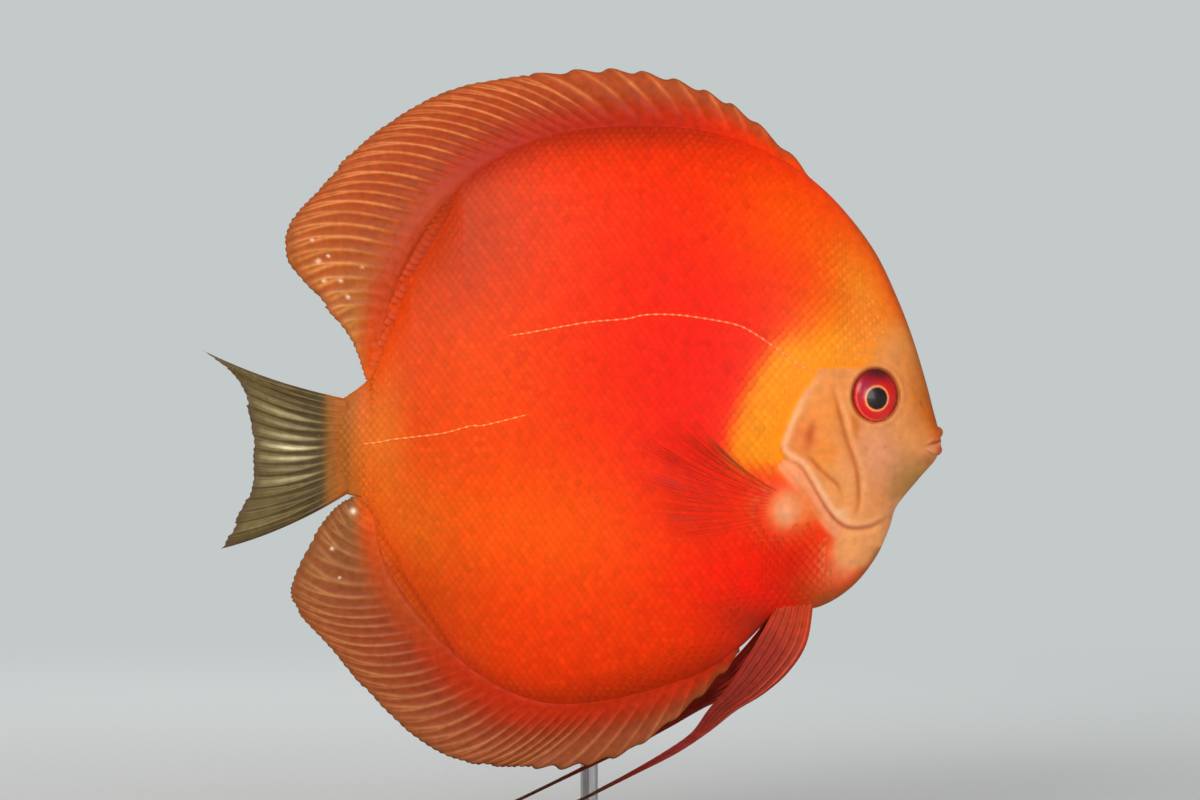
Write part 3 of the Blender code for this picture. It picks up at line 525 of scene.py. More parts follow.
def add_node(tree, kind, settings=None, **links):
    """A node with its settings and constants, and links into its sockets, named with _ for a space."""
    node = tree.nodes.new("ShaderNode" + kind)
    for key, value in (settings or {}).items():
        if hasattr(node, key):
            setattr(node, key, value)
        else:
            node.inputs[key].default_value = value
    for key, source in links.items():
        socket = node.inputs[int(key[3:])] if key.startswith("at_") else node.inputs[key.replace("_", " ")]
        tree.links.new(source, socket)
    return node


def new_material(name):
    material = bpy.data.materials.new(name)
    material.use_nodes = True
    material.node_tree.nodes.clear()
    return material, material.node_tree


def finish_material(tree, shader):
    output = tree.nodes.new("ShaderNodeOutputMaterial")
    tree.links.new(shader.outputs[0], output.inputs["Surface"])


def wear(piece, material):
    """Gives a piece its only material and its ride."""
    piece.data.materials.clear()
    piece.data.materials.append(material)
    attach(piece, "root")


def varnished(name, roughness, mottling, grain_mm, bump_mm):
    """Airbrushed casting resin under satin varnish: painted colour, fine mottling, soft gloss, some depth."""
    material, tree = new_material(name)
    place = add_node(tree, "TexCoord").outputs["Object"]
    paint = add_node(tree, "Attribute", {"attribute_name": "paint"}).outputs["Color"]
    mottle = add_node(tree, "TexNoise", {"Scale": 1 / (6 * grain_mm * MM), "Detail": 6.0}, Vector=place)
    span = add_node(
        tree, "MapRange", {"From Min": 0.3, "From Max": 0.7, "To Min": 1 - mottling, "To Max": 1 + mottling},
        Value=mottle.outputs["Fac"],
    )
    colour = add_node(tree, "VectorMath", {"operation": "SCALE"}, Vector=paint, Scale=span.outputs[0])
    grain = add_node(tree, "TexNoise", {"Scale": 1 / (grain_mm * MM), "Detail": 4.0}, Vector=place)
    gloss = add_node(
        tree, "MapRange", {"To Min": roughness - 0.08, "To Max": roughness + 0.1}, Value=grain.outputs["Fac"]
    )
    bump = add_node(tree, "Bump", {"Distance": bump_mm * MM, "Strength": 0.6}, Height=grain.outputs["Fac"])
    shader = add_node(
        tree, "BsdfPrincipled",
        {
            "IOR": 1.36, "Specular IOR Level": 0.16, "Subsurface Weight": 0.08,
            "Subsurface Scale": 1.5 * MM, "Subsurface Radius": (1.0, 0.35, 0.2),
        },
        Base_Color=colour.outputs[0], Roughness=gloss.outputs[0], Normal=bump.outputs[0],
    )
    finish_material(tree, shader)
    return material


def paint_piece(piece, colours):
    """Paints a piece from the sRGB colour of each of its points."""
    painted(piece, linear(np.clip(colours, 0, 1)))


x, y, z = points_of(skin)
paint_piece(skin, skin_paint(x, z))
shade_by_angle(skin, 70)
wear(skin, varnished("airbrushed_resin_skin", 0.4, 0.1, 0.35, 0.05))
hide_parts("head", "trunk", "tail_stalk", "gill_cover_left", "gill_cover_right")

# Scales: small thin plates pressed on in staggered rows that follow the flank, each overlapping the
# next one toward the tail. Each has a painted highlight, a paler bar across its free edge, and painted
# shade at its root, under the scale in front of it.
SCALE_PITCH, ROW_PITCH = 1.75, 1.25
SCALE_LONG, SCALE_WIDE, SCALE_DOME = 1.75, 1.2, 0.035
SCALE_TUCK, SCALE_LIFT, SCALE_THICK = -0.07, 0.05, 0.035
SCALE_OUTLINE = ((0, 0.35, 0.7, 1), (0.72, 1.0, 0.98, 0.7))
SCALE_GLEAM = np.array((0.04, 0.2, 0.02))
SCALE_SPLITS = (-8.0, 24.0)
# The rows follow an arch whose top is over the middle of the flank.
CENTRE_ROW, ARCH_CENTRE, ARCH_HALF, ARCH_RISE, ARCH_SPREAD = 3.0, 8, 75, 2.6, 0.3
ROWS_REACH, COLUMNS_REACH = (-70, 72), (-36, 70)
CROWN_FADE = 9
# On the bake layout each scale is a patch this wide, and the flanks span these lengths and girths.
BAKE_PATCH, BAKE_START, BAKE_LENGTH, BAKE_SEAM, BAKE_GIRTH = 0.003, 60, 145, 0.006, 0.485

rng = np.random.default_rng(11)
bpy.ops.object.select_all(action="DESELECT")
bpy.ops.mesh.primitive_grid_add(x_subdivisions=3, y_subdivisions=4, size=1)
plate = bpy.context.object
for point in plate.data.vertices:
    along, side = 0.5 - point.co.x, 2 * point.co.y
    reach = along * (1 - 0.3 * side * side)
    spread = np.interp(along, *SCALE_OUTLINE)
    rise = SCALE_DOME * (1 - side * side) * math.sin(math.pi * min(along + 0.15, 1))
    point.co = (reach, side * spread, rise + SCALE_TUCK + (SCALE_LIFT - SCALE_TUCK) * along)
plate.data.flip_normals()
walls = plate.modifiers.new("thickness", "SOLIDIFY")
walls.thickness, walls.offset = SCALE_THICK, -1
bpy.ops.object.modifier_apply(modifier=walls.name)
plate_points = np.array([tuple(point.co) for point in plate.data.vertices])
plate_faces = [tuple(face.vertices) for face in plate.data.polygons]
bpy.data.objects.remove(plate)


def surface_half(x, z):
    """Half thickness of what scales lie on: the flank, and the foot of the fins past its rim."""
    top, bottom = rim_heights(x)
    past = np.maximum(np.maximum(z - top, bottom - z), 0)
    fin_foot = FIN_BASE_HALF * np.clip(1 - past / 40, 0.3, 1) + 0.05
    return np.maximum(flank_height(x, np.clip(z, bottom, top)) * (past <= 0), fin_foot * (x < 58))


def crown_reach(x, z):
    """How far a place lies behind the slanting line where the scales end on the forehead."""
    return 64.5 + 0.72 * (z - 16) - x


def scale_places():
    """Side view roots of all scales on one side, their size and their slope."""
    grids = np.meshgrid(np.arange(*ROWS_REACH), np.arange(*COLUMNS_REACH), indexing="ij")
    row, column = (grid.ravel() for grid in grids)
    x = column * SCALE_PITCH + (row % 2) * SCALE_PITCH / 2 - 1.5
    z = CENTRE_ROW + row * ROW_PITCH
    arch = 1 - ((x - ARCH_CENTRE) / ARCH_HALF) ** 2
    z = CENTRE_ROW + (z - CENTRE_ROW) * np.clip(0.72 + ARCH_SPREAD * arch, 0.55, 1.0) + ARCH_RISE * arch
    slope = (z - CENTRE_ROW) * ARCH_SPREAD * (-2 * (x - ARCH_CENTRE) / ARCH_HALF**2)
    slope = slope + ARCH_RISE * -2 * (x - ARCH_CENTRE) / ARCH_HALF**2
    top, bottom = rim_heights(x)
    past = np.maximum(z - top, bottom - z)
    inside = (x > -50.6) & (x < 79) & (past < -1.5 - 1.4 * (x < -22))
    kept = inside & (scale_cover(x, z) > 0.5)
    size = np.clip(1 - np.maximum(x - 45, 0) / 50, 0.6, 1)
    size = size * np.clip(1.0 - np.maximum(-x - 25, 0) / 55, 0.5, 1)
    gill, _ = off_line(x, z, GILL_EDGE)
    size = size * np.interp(past, (-7, -1), (1, 0.55))
    size = size * np.where(z < 17, np.interp(-gill, (0.8, 7), (0.6, 1)), 1)
    crown = crown_reach(x, z)
    fading = (z > 14) & (crown < CROWN_FADE)
    size = np.where(fading, size * np.interp(crown, (0, CROWN_FADE), (0.5, 1)), size)
    kept &= ~fading | (rng.random(len(x)) < 0.45 + crown / 8)
    return x[kept], z[kept], size[kept], slope[kept]


# The bake layout unrolls the flanks: along the body one way, round its girth the other.
girth = np.hypot(np.diff(skin_half, axis=0), np.diff(skin_z, axis=0))
girth = np.vstack([np.zeros(len(skin_x)), np.cumsum(girth, axis=0)])
girth_share = girth / np.maximum(girth[-1], 1e-6)


def bake_place(x, z, side):
    """Where a root lies on the bake layout, from 0 to 1 both ways."""
    column = np.clip(np.searchsorted(skin_x, x), 1, len(skin_x) - 2)
    across = np.clip(rim_share(z, *rim_heights(x)), -1, 1)
    row = np.clip(np.searchsorted(row_across, across), 0, len(row_across) - 1)
    share = girth_share[row, column]
    return (x + BAKE_START) / BAKE_LENGTH, 0.5 + side * (BAKE_SEAM + BAKE_GIRTH * share)


SCALE_FINISH = varnished("airbrushed_resin_scales", 0.36, 0.05, 0.5, 0.02)


def lay_scales(name, x, z, size, slope, side):
    """One piece of scales on one side of the fish, each laid on the slope of the flank at its root."""
    count, step = len(x), 0.25
    half = surface_half(x, z)
    back = 0.85 * SCALE_PITCH * SCALE_LONG * size
    rise_x = np.clip((half - surface_half(x - back, z)) / back, -1.2, 1.2)
    rise_z = np.clip((surface_half(x, z + step) - surface_half(x, z - step)) / (2 * step), -2.0, 2.0)
    foot = np.stack([x, side * half, z], axis=1)
    normal = np.stack([-rise_x, np.full(count, float(side)), -rise_z], axis=1)
    normal /= np.linalg.norm(normal, axis=1)[:, None]
    lean = slope + rng.normal(0, 0.02, count)
    tail_way = np.stack([-np.ones(count), -side * (rise_x + rise_z * lean), -lean], axis=1)
    tail_way /= np.linalg.norm(tail_way, axis=1)[:, None]
    cross = np.cross(normal, tail_way)
    long = SCALE_PITCH * SCALE_LONG * size * rng.uniform(0.94, 1.06, count)
    wide = ROW_PITCH * SCALE_WIDE * size * rng.uniform(0.95, 1.05, count)
    along, across, up = plate_points.T
    places = (
        foot[:, None]
        + tail_way[:, None] * (along[None, :, None] * long[:, None, None])
        + cross[:, None] * (across[None, :, None] * wide[:, None, None])
        + normal[:, None] * (up[None, :, None] * size[:, None, None])
    )
    shape = len(plate_points)
    faces = (np.array(plate_faces)[None] + (np.arange(count) * shape)[:, None, None]).reshape(-1, 4)
    mesh = bpy.data.meshes.new(name)
    mesh.from_pydata(metres(*places.reshape(-1, 3).T), [], faces.tolist())
    piece = bpy.data.objects.new(name, mesh)
    scene.collection.objects.link(piece)
    body = skin_paint(x, z)
    body = over(body, "#F2A684", 0.4 * (z > 14) * np.clip(1 - crown_reach(x, z) / 13, 0, 1))
    tone = 1 + rng.normal(0, 0.018, (count, 1, 1))
    # Painted highlight: a paler bar across each scale's free edge.
    bar = (ridge(along - 0.78, 0.12) * ridge(across, 0.7))[None, :, None]
    bar = bar * rng.uniform(0.4, 1.0, (count, 1, 1))
    # Painted shade at each scale's root, under the scale in front of it.
    root = 1 - 0.12 * np.clip(1 - along / 0.7, 0, 1)[None, :, None]
    colours = body[:, None] * tone * root + SCALE_GLEAM * bar
    paint_piece(piece, colours.reshape(-1, 3))
    shade_by_angle(piece, 45)
    u, v = bake_place(x, z, side)
    layer = mesh.uv_layers.new(name="OFBake")
    corner = np.array([loop.vertex_index for loop in mesh.loops])
    own, part = corner // shape, corner % shape
    spread = np.stack([along - 0.5, across / 2], axis=1)[part] * BAKE_PATCH
    spot = np.stack([u, v], axis=1)[own] + spread
    layer.data.foreach_set("uv", spot.astype(np.float32).ravel())
    wear(piece, SCALE_FINISH)


all_scales = scale_places()
part_of = np.searchsorted(SCALE_SPLITS, all_scales[0])
for side, side_name in ((-1, "right"), (1, "left")):
    for part in range(len(SCALE_SPLITS) + 1):
        lay_scales(f"scales_{side_name}_{part}", *(values[part_of == part] for values in all_scales), side)

# Lateral line: the pored scales along each flank, in a fore and a rear run, cast as a fine raised
# thread that swells at each pore. It is fixed on the scales and airbrushed pale, with a painted
# highlight on each swell.
LATERAL_LINES = {
    "fore": (
        (54.6, 14.6), (53.3, 15.5), (50.4, 16.9), (45.5, 20.5), (40.5, 23.9), (36.7, 25.7), (30.2, 27.0),
        (23.2, 27.9), (16.7, 27.9), (12.2, 27.0), (4.1, 26.3), (-4.7, 24.8), (-9.7, 23.9), (-14.4, 23.2),
    ),
    "rear": (
        (-9.0, 5.9), (-19.1, 3.4), (-22.3, 3.2), (-28.4, 1.6), (-35.3, 0.7), (-39.6, 0.2), (-43.2, -0.5),
        (-48.0, -1.0),
    ),
}
PORE_PITCH, PORE_HALF, THREAD_HALF = 1.75, 0.24, 0.17
STEPS_A_PORE, ENDS_RUN_OUT, STANDS_PROUD = 9, 12, 0.1
EDGE_POINTS = 300


def evenly(points, count):
    """Points at equal distances along a line."""
    reach = np.concatenate([[0], np.cumsum(np.hypot(*np.diff(points, axis=0).T))])
    stops = np.linspace(0, reach[-1], count)
    return np.stack([np.interp(stops, reach, points[:, 0]), np.interp(stops, reach, points[:, 1])], axis=1)


def pore_run(name, line, side):
    """One run of the lateral line on one side of the fish."""
    bends = smooth(line, EDGE_POINTS)
    length = np.hypot(*np.diff(bends, axis=0).T).sum()
    run = evenly(bends, int(length / PORE_PITCH) * STEPS_A_PORE + 1)
    index = np.arange(len(run))
    beat = index / STEPS_A_PORE + 0.12 * np.sin(index / 7)
    swell = (0.5 + 0.5 * np.cos(2 * np.pi * beat)) ** 3
    ends = np.clip(np.minimum(index, index[::-1]) / ENDS_RUN_OUT, 0, 1)
    wide = (THREAD_HALF + (PORE_HALF - THREAD_HALF) * swell) * ends
    x, z = run.T
    middle = np.stack([x, side * (surface_half(x, z) + STANDS_PROUD), z], axis=1)
    piece = tube(name, middle, wide, up=(0, 1, 0), sides=8)
    x, y, z = points_of(piece)
    nearest = np.argmin(np.hypot(x[:, None] - run[:, 0], z[:, None] - run[:, 1]), axis=1)
    colours = skin_paint(x, z) * 0.3 + shade("#FF8E48") * 0.7
    # Painted highlight on each swell of the thread.
    paint_piece(piece, over(colours, "#FFAE78", 0.85 * swell[nearest]))
    piece.data.shade_smooth()
    wear(piece, SCALE_FINISH)


for side, side_name in ((-1, "right"), (1, "left")):
    for run_name, line in LATERAL_LINES.items():
        pore_run(f"lateral_line_{side_name}_{run_name}", line, side)

# Eyes: glass taxidermy eyes, painted from behind on a domed blank and set in the orbits. The iris is
# red, with a gold ring round the black pupil and a dark red rim; a violet patch toward the tail is a
# painted sheen, and the dark band above is a painted shadow.
EYE_HALF, EYE_DEPTH, EYE_SUNK = (5.5, 6.1), 2.9, 1.15
PUPIL_OFF, PUPIL_HALF, GOLD_HALF = (-0.42, -0.65), 2.45, 2.9
UPWARD = np.array([0, 0, 1.0])


def eye_paint(a, b):
    """sRGB colour of the eye at a mm toward the snout and b mm up from its centre."""
    out = np.hypot(a / EYE_HALF[0], b / EYE_HALF[1])
    turn = np.arctan2(b - PUPIL_OFF[1], a - PUPIL_OFF[0])
    pupil = np.hypot(a - PUPIL_OFF[0], b - PUPIL_OFF[1])
    fibre = 0.5 + 0.25 * np.sin(turn * 37 + 2 * np.sin(turn * 5)) + 0.25 * np.sin(turn * 61 + pupil)
    colours = np.broadcast_to(shade("#C80E16"), a.shape + (3,))
    colours = over(colours, "#E01818", 0.35 * fibre + 0.8 * ridge(pupil - GOLD_HALF, 1.3))
    # Painted sheen: a violet patch on the iris toward the tail.
    colours = over(colours, "#98204A", 0.8 * blob(a, b, (-3.0, 1.8), (2.4, 3.0)))
    # Painted shadow: a dark band across the top of the iris.
    colours = over(colours, "#3E1014", 0.9 * blob(a, b, (0.6, 5.4), (4.6, 1.9)))
    colours = over(colours, "#E03028", 0.6 * blob(a, b, (1.4, -4.4), (3.0, 1.2)))
    colours = over(colours, "#F0704A", 0.8 * ridge(out - 0.9, 0.03) * beyond(-a - b - 1.0, 1.2))
    colours = over(colours, "#8A2014", beyond(out - 0.965, 0.015))
    colours = over(colours, "#FFC470", ridge((pupil - GOLD_HALF + 0.2) / 0.24, 1) * (0.8 + 0.2 * fibre))
    return over(colours, "#1E1214", beyond(PUPIL_HALF - pupil, 0.07))


def eye_material():
    """Painted glass: deep colour under a hard, smooth dome that takes a small sharp highlight."""
    material, tree = new_material("painted_glass_eye")
    paint = add_node(tree, "Attribute", {"attribute_name": "paint"}).outputs["Color"]
    place = add_node(tree, "TexCoord").outputs["Object"]
    cloud = add_node(tree, "TexNoise", {"Scale": 1 / (0.9 * MM), "Detail": 4.0}, Vector=place)
    span = add_node(tree, "MapRange", {"To Min": 0.9, "To Max": 1.1}, Value=cloud.outputs["Fac"])
    colour = add_node(tree, "VectorMath", {"operation": "SCALE"}, Vector=paint, Scale=span.outputs[0])
    gloss = add_node(tree, "MapRange", {"To Min": 0.2, "To Max": 0.34}, Value=cloud.outputs["Fac"])
    shader = add_node(
        tree, "BsdfPrincipled",
        {
            "IOR": 1.45, "Specular IOR Level": 0.3, "Coat Weight": 0.22, "Coat Roughness": 0.03,
            "Coat IOR": 1.4,
        },
        Base_Color=colour.outputs[0], Roughness=gloss.outputs[0],
    )
    finish_material(tree, shader)
    return material


EYE_FINISH = eye_material()
for side, side_name in ((-1, "right"), (1, "left")):
    bpy.ops.object.select_all(action="DESELECT")
    bpy.ops.mesh.primitive_uv_sphere_add(segments=96, ring_count=64, radius=1)
    eye = bpy.context.object
    eye.name = eye.data.name = f"eye_ball_{side_name}"
    a, b, up = raw_points(eye).T.astype(float)
    b = b * side
    outward = np.array([math.sin(EYE_TURN), side * math.cos(EYE_TURN), 0.0])
    forward = np.array([math.cos(EYE_TURN), -side * math.sin(EYE_TURN), 0.0])
    middle = np.array([EYE_PLACE[0], side * float(body_half(*EYE_PLACE)), EYE_PLACE[1]]) - outward * EYE_SUNK
    dome = np.sign(up) * np.abs(up) ** 0.85 * EYE_DEPTH
    places = middle + np.outer(a * EYE_HALF[0], forward) + np.outer(b * EYE_HALF[1], UPWARD)
    lay_points(eye, metres(*(places + np.outer(dome, outward)).T))
    close_up(eye)
    reach = np.stack(points_of(eye), axis=1) - middle
    paint_piece(eye, eye_paint(reach @ forward, reach @ UPWARD))
    eye.data.shade_smooth()
    wear(eye, EYE_FINISH)
    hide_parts(f"eye_{side_name}")

# Dorsal and anal fins: thin webs of tinted resin over moulded rays. Hard spines stand out of the front
# edge; the soft rays behind them fork toward the fin's edge. The feet are let into the body's rim.
DORSAL_ENDS, ANAL_ENDS = ((55.5, 57.6), (-45.6, 13.6)), ((39.6, -45.4), (-46.6, -13.6))
DORSAL_EDGE = (
    (54.4, 59.4), (41.0, 72.0), (29.6, 78.7), (16.1, 82.7), (1.8, 83.2), (-14.6, 81.4), (-29.4, 77.7),
    (-40.2, 71.8), (-48.7, 65.0), (-55.9, 57.0), (-62.4, 49.7), (-63.6, 40.7), (-56.0, 31.4),
    (-48.8, 22.0), (-46.0, 13.4),
)
ANAL_EDGE = (
    (38.0, -48.4), (27.4, -59.2), (13.6, -69.6), (1.0, -73.5), (-10.4, -73.6), (-18.8, -73.0),
    (-27.9, -70.8), (-37.3, -64.6), (-46.5, -55.5), (-54.6, -46.0), (-61.6, -37.8), (-62.0, -31.0),
    (-56.2, -19.6), (-50.8, -13.8), (-47.4, -12.6),
)
RAY_BOW, BOW_GROWS_TO = 0.55, 0.6
SPINE_OVER, SPINE_BAY, SPINE_PHASE = 0.6, 0.8, 0.6
FIN_FOOT_SUNK, FOOT_BLEND, FOOT_SWELL = 3.0, 12.0, 13.0
RAY_COLUMNS, MEDIAN_ROWS = 10, 46


def point_at(line, share):
    """Points at shares of the way along a line."""
    where = np.clip(share, 0, 1) * (len(line) - 1)
    index = np.arange(len(line))
    return np.stack([np.interp(where, index, line[:, 0]), np.interp(where, index, line[:, 1])], axis=-1)


def ease(value):
    """From 0 to 1 with a soft start and a soft end."""
    value = np.clip(value, 0, 1)
    return value * value * (3 - 2 * value)


def off_ray(phase, along, fork_at):
    """How far a place is from the nearest branch of its ray, in ray spacings."""
    first = 0.2 * ease((along - fork_at) / 0.3)
    second = 0.1 * ease((along - fork_at - 0.25) / 0.2)
    off = np.abs(phase - 0.5)
    return np.abs(np.abs(off - first) - second)


def fin_sheet(name, x, y, z, half):
    """A closed thin piece between two faces that stand half a thickness off its middle."""
    half = half.copy()
    half[:, [0, -1]] = 0
    half[[0, -1]] = 0
    wrap_x, wrap_z = np.vstack([x, x[::-1][1:]]), np.vstack([z, z[::-1][1:]])
    wrap_y = np.vstack([y + half, (y - half)[::-1][1:]])
    return grid_piece(name, wrap_x, wrap_y, wrap_z)


def wrapped(values):
    """The rows of one face of a sheet, followed by the same rows of its other face."""
    return np.concatenate([values, values[::-1][1:]])


def fin_paint_piece(piece, spots, colours, opacity=None):
    """Paints a fin from a colour for each row and column, before its doubles are merged."""
    row, column = spots
    both = wrapped(np.clip(colours, 0, 1))[row, column]
    rgba = np.concatenate([linear(both), np.ones((len(both), 1))], axis=1)
    if opacity is not None:
        rgba[:, 3] = wrapped(opacity)[row, column]
    painted(piece, rgba)
    close_up(piece)
    piece.data.shade_smooth()


def ray_columns(spines, rays, spine_share):
    """Shares along the foot, the phase within each ray, and whether it is a spine's."""
    spine_count = spines * RAY_COLUMNS
    index = np.arange(spine_count + rays * RAY_COLUMNS + 1)
    spiny = index < spine_count
    share = np.where(
        spiny, spine_share * index / max(spine_count, 1),
        spine_share + (1 - spine_share) * (index - spine_count) / (rays * RAY_COLUMNS),
    )
    return share, (index % RAY_COLUMNS) / RAY_COLUMNS, spiny, index // RAY_COLUMNS


def tinted(name, see_through, roughness):
    """Tinted resin film over moulded rays: soft gloss, light that seeps through, and fine fibre along it."""
    material, tree = new_material(name)
    paint = add_node(tree, "Attribute", {"attribute_name": "paint"})
    place = add_node(tree, "TexCoord").outputs["Object"]
    mottle = add_node(tree, "TexNoise", {"Scale": 1 / (1.6 * MM), "Detail": 6.0}, Vector=place)
    span = add_node(
        tree, "MapRange", {"From Min": 0.3, "From Max": 0.7, "To Min": 0.84, "To Max": 1.16},
        Value=mottle.outputs["Fac"],
    )
    colour = add_node(
        tree, "VectorMath", {"operation": "SCALE"}, Vector=paint.outputs["Color"], Scale=span.outputs[0]
    )
    gloss = add_node(
        tree, "MapRange", {"To Min": roughness - 0.08, "To Max": roughness + 0.12},
        Value=mottle.outputs["Fac"],
    )
    bump = add_node(tree, "Bump", {"Distance": 0.04 * MM, "Strength": 0.5}, Height=mottle.outputs["Fac"])
    links = {"Alpha": paint.outputs["Alpha"]} if see_through else {}
    shader = add_node(
        tree, "BsdfPrincipled",
        {
            "IOR": 1.36, "Specular IOR Level": 0.16, "Subsurface Weight": 0.25,
            "Subsurface Scale": 1 * MM, "Subsurface Radius": (1.0, 0.5, 0.3),
        },
        Base_Color=colour.outputs[0], Roughness=gloss.outputs[0], Normal=bump.outputs[0], **links,
    )
    finish_material(tree, shader)
    return material


FIN_FINISH = tinted("tinted_resin_fin", False, 0.34)
WEB_FINISH = tinted("clear_resin_web", True, 0.26)
# Small white specks on the dorsal and anal fins: place and reach.
FIN_SPECKS = (
    (-56.9, 40.3, 0.5), (-54.7, 41.4, 0.35), (-55.6, 35.8, 0.4), (-51.8, 35.8, 0.4), (-50.2, 32.2, 0.45),
    (-49.0, -16.0, 0.8), (-53.8, -24.5, 0.4), (-47.0, 38.8, 0.3), (-58.4, 45.0, 0.3), (-52.0, -31.0, 0.3),
)


def median_fin(name, ends, edge, spines, rays, spine_share, shades):
    """A fin along the body's rim. Its shades: inner, outer, rear, rays, folds between them and edge."""
    start, end = (np.array(place) for place in ends)
    upper = math.copysign(1, start[1])
    first = int(np.argmin(np.hypot(*(RIM - start).T)))
    last = int(np.argmin(np.hypot(*(RIM - end).T)))
    foot = evenly(RIM[first : last + 1] if last > first else RIM[last : first + 1][::-1], EDGE_POINTS)
    inward = np.gradient(foot, axis=0)
    inward = np.stack([-inward[:, 1], inward[:, 0]], axis=1) * upper
    foot = foot + inward / np.hypot(*inward.T)[:, None] * FIN_FOOT_SUNK
    tip = smooth(edge, EDGE_POINTS)
    share, phase, spiny, number = ray_columns(spines, rays, spine_share)
    along = np.linspace(0, 1, MEDIAN_ROWS)[:, None]
    feet, reach = point_at(foot, share), point_at(tip, share) - point_at(foot, share)
    length = np.hypot(*reach.T)
    lobe = np.cos(2 * np.pi * (phase - np.where(spiny, SPINE_PHASE, 0.5)))
    own = rng.normal(0, 0.35, spines + rays + 1)[number]
    ragged = np.where(spiny, (SPINE_OVER + SPINE_BAY) / 2 * lobe - 0.15, 0.35 * np.abs(lobe) + 0.4 * own)
    reach = reach * (1 + np.clip(ragged / np.maximum(length, 1), -0.3, 0.3))[:, None]
    bow = upper * RAY_BOW * np.minimum(share / BOW_GROWS_TO, 1) * along**1.5 * (1 - along)
    x = feet[:, 0] + reach[:, 0] * along + reach[:, 1] * bow
    z = feet[:, 1] + reach[:, 1] * along - reach[:, 0] * bow
    sway = 0.5 * np.sin(share * 23 + 1) + 0.25 * np.sin(share * 47)
    y = sway * along**2 + 0.12 * np.cos(2 * np.pi * phase) * along * ~spiny
    off = np.where(spiny, np.abs(phase - SPINE_PHASE), off_ray(phase, along, 0.6))
    wide = np.where(spiny, 0.17 - 0.08 * along, 0.17 - 0.07 * along)
    crest = ridge(off, wide)
    stout = np.where(spiny, 0.5 - 0.24 * along, 0.36 - 0.22 * along)
    web = 0.13 - 0.03 * along
    out = along * length - FIN_FOOT_SUNK
    swell = np.clip(1 - out / np.minimum(FOOT_SWELL, 0.7 * length), 0, 1) ** 1.5
    root = FIN_BASE_HALF + 0.6 * np.clip(length / 22, 0, 1) ** 1.5
    root = np.interp(out, (-FIN_FOOT_SUNK, -1.2), (0.4, 1)) * root
    half = web + (stout - web) * crest * ease((out - 1) / 6) + swell * root
    piece, spots = fin_sheet(name, x, np.broadcast_to(y, x.shape), z, half)
    inner, outer, rear, ray, fold, rim = shades
    colours = np.broadcast_to(shade(inner), x.shape + (3,))
    colours = over(colours, outer, beyond(along - 0.55, 0.22) * np.ones_like(share))
    colours = over(colours, rear, beyond(share - 0.74, 0.12) * np.clip(0.35 + along, 0, 1))
    colours = over(colours, fold, 0.45 * (1 - crest) * ease((out - 1) / 8))
    streak = 0.75 + 0.25 * np.sin(number * 2.3 + 1)
    streak = 0.75 * crest * streak * np.where(spiny, 0.7, 1) * ease((out - 2) / 9)
    colours = over(colours, ray, streak * (1 - 0.5 * beyond(along - 0.86, 0.05)))
    colours = over(colours, rim, 0.5 * beyond(along - 0.94, 0.025) * np.ones_like(share))
    foot_paint = skin_paint(*(feet + reach / np.maximum(length, 1)[:, None] * (FIN_FOOT_SUNK - 0.8)).T)
    reach_in = np.interp(share, (0.45, 0.8), (FOOT_BLEND, 6.0))
    blend = ease(1 - out / np.minimum(reach_in, 0.8 * length))[..., None]
    colours = colours + (foot_paint - colours) * blend
    for spot_x, spot_z, spot_half in FIN_SPECKS:
        colours = over(colours, "#FFF4E8", 0.9 * ridge(np.hypot(x - spot_x, z - spot_z), spot_half))
    fin_paint_piece(piece, spots, colours)
    wear(piece, FIN_FINISH)
    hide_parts(name.replace("_web", ""))


median_fin(
    "dorsal_fin_web", DORSAL_ENDS, DORSAL_EDGE, 9, 30, 0.34,
    ("#A43A16", "#B45C2C", "#B67A36", "#E8985A", "#96300F", "#7E401E"),
)
median_fin(
    "anal_fin_web", ANAL_ENDS, ANAL_EDGE, 8, 32, 0.28,
    ("#A8341A", "#9A562C", "#8E6436", "#C08050", "#84361A", "#6E3E1E"),
)

# Tail fin: a pleated fan of olive tinted resin whose rays fork toward its edge, let into the tail stalk.
CAUDAL_ROOT = ((-49.5, 9.3), (-49.5, -11.6))
CAUDAL_EDGE = (
    (-83.5, 20.4), (-79.0, 17.4), (-75.4, 14.4), (-73.4, 10.8), (-72.2, 6.6), (-71.5, 2.2), (-71.3, -2.0),
    (-71.4, -6.0), (-71.8, -10.0), (-73.0, -13.4), (-74.6, -17.0), (-76.2, -20.5), (-77.9, -24.1),
)
CAUDAL_BOW, CAUDAL_RAYS, CAUDAL_ROWS = -1.4, 16, 44
share, phase, _, number = ray_columns(0, CAUDAL_RAYS, 0)
along = np.linspace(0, 1, CAUDAL_ROWS)[:, None]
feet = np.array(CAUDAL_ROOT[0]) * (1 - share[:, None]) + np.array(CAUDAL_ROOT[1]) * share[:, None]
reach = point_at(smooth(CAUDAL_EDGE, EDGE_POINTS), share) - feet
ragged = 1 + (0.012 * np.abs(np.cos(2 * np.pi * phase)) + 0.012 * rng.normal(0, 1, CAUDAL_RAYS + 1)[number])
x = feet[:, 0] + reach[:, 0] * ragged * along
z = feet[:, 1] + reach[:, 1] * ragged * along + CAUDAL_BOW * 4 * along * (1 - along)
pleat = 0.55 * np.cos(2 * np.pi * (share * CAUDAL_RAYS / 2)) + 0.25 * np.sin(share * 19)
y = pleat * ease((along - 0.12) / 0.5)
crest = ridge(off_ray(phase, along, 0.3), 0.15 - 0.05 * along)
stalk_half = float(body_half(CAUDAL_ROOT[0][0], 0.0))
half = 0.11 + (0.4 - 0.26 * along) * crest * ease(along / 0.3)
half = half + (stalk_half - 0.7) * np.maximum(1 - along / 0.42, 0) ** 1.7
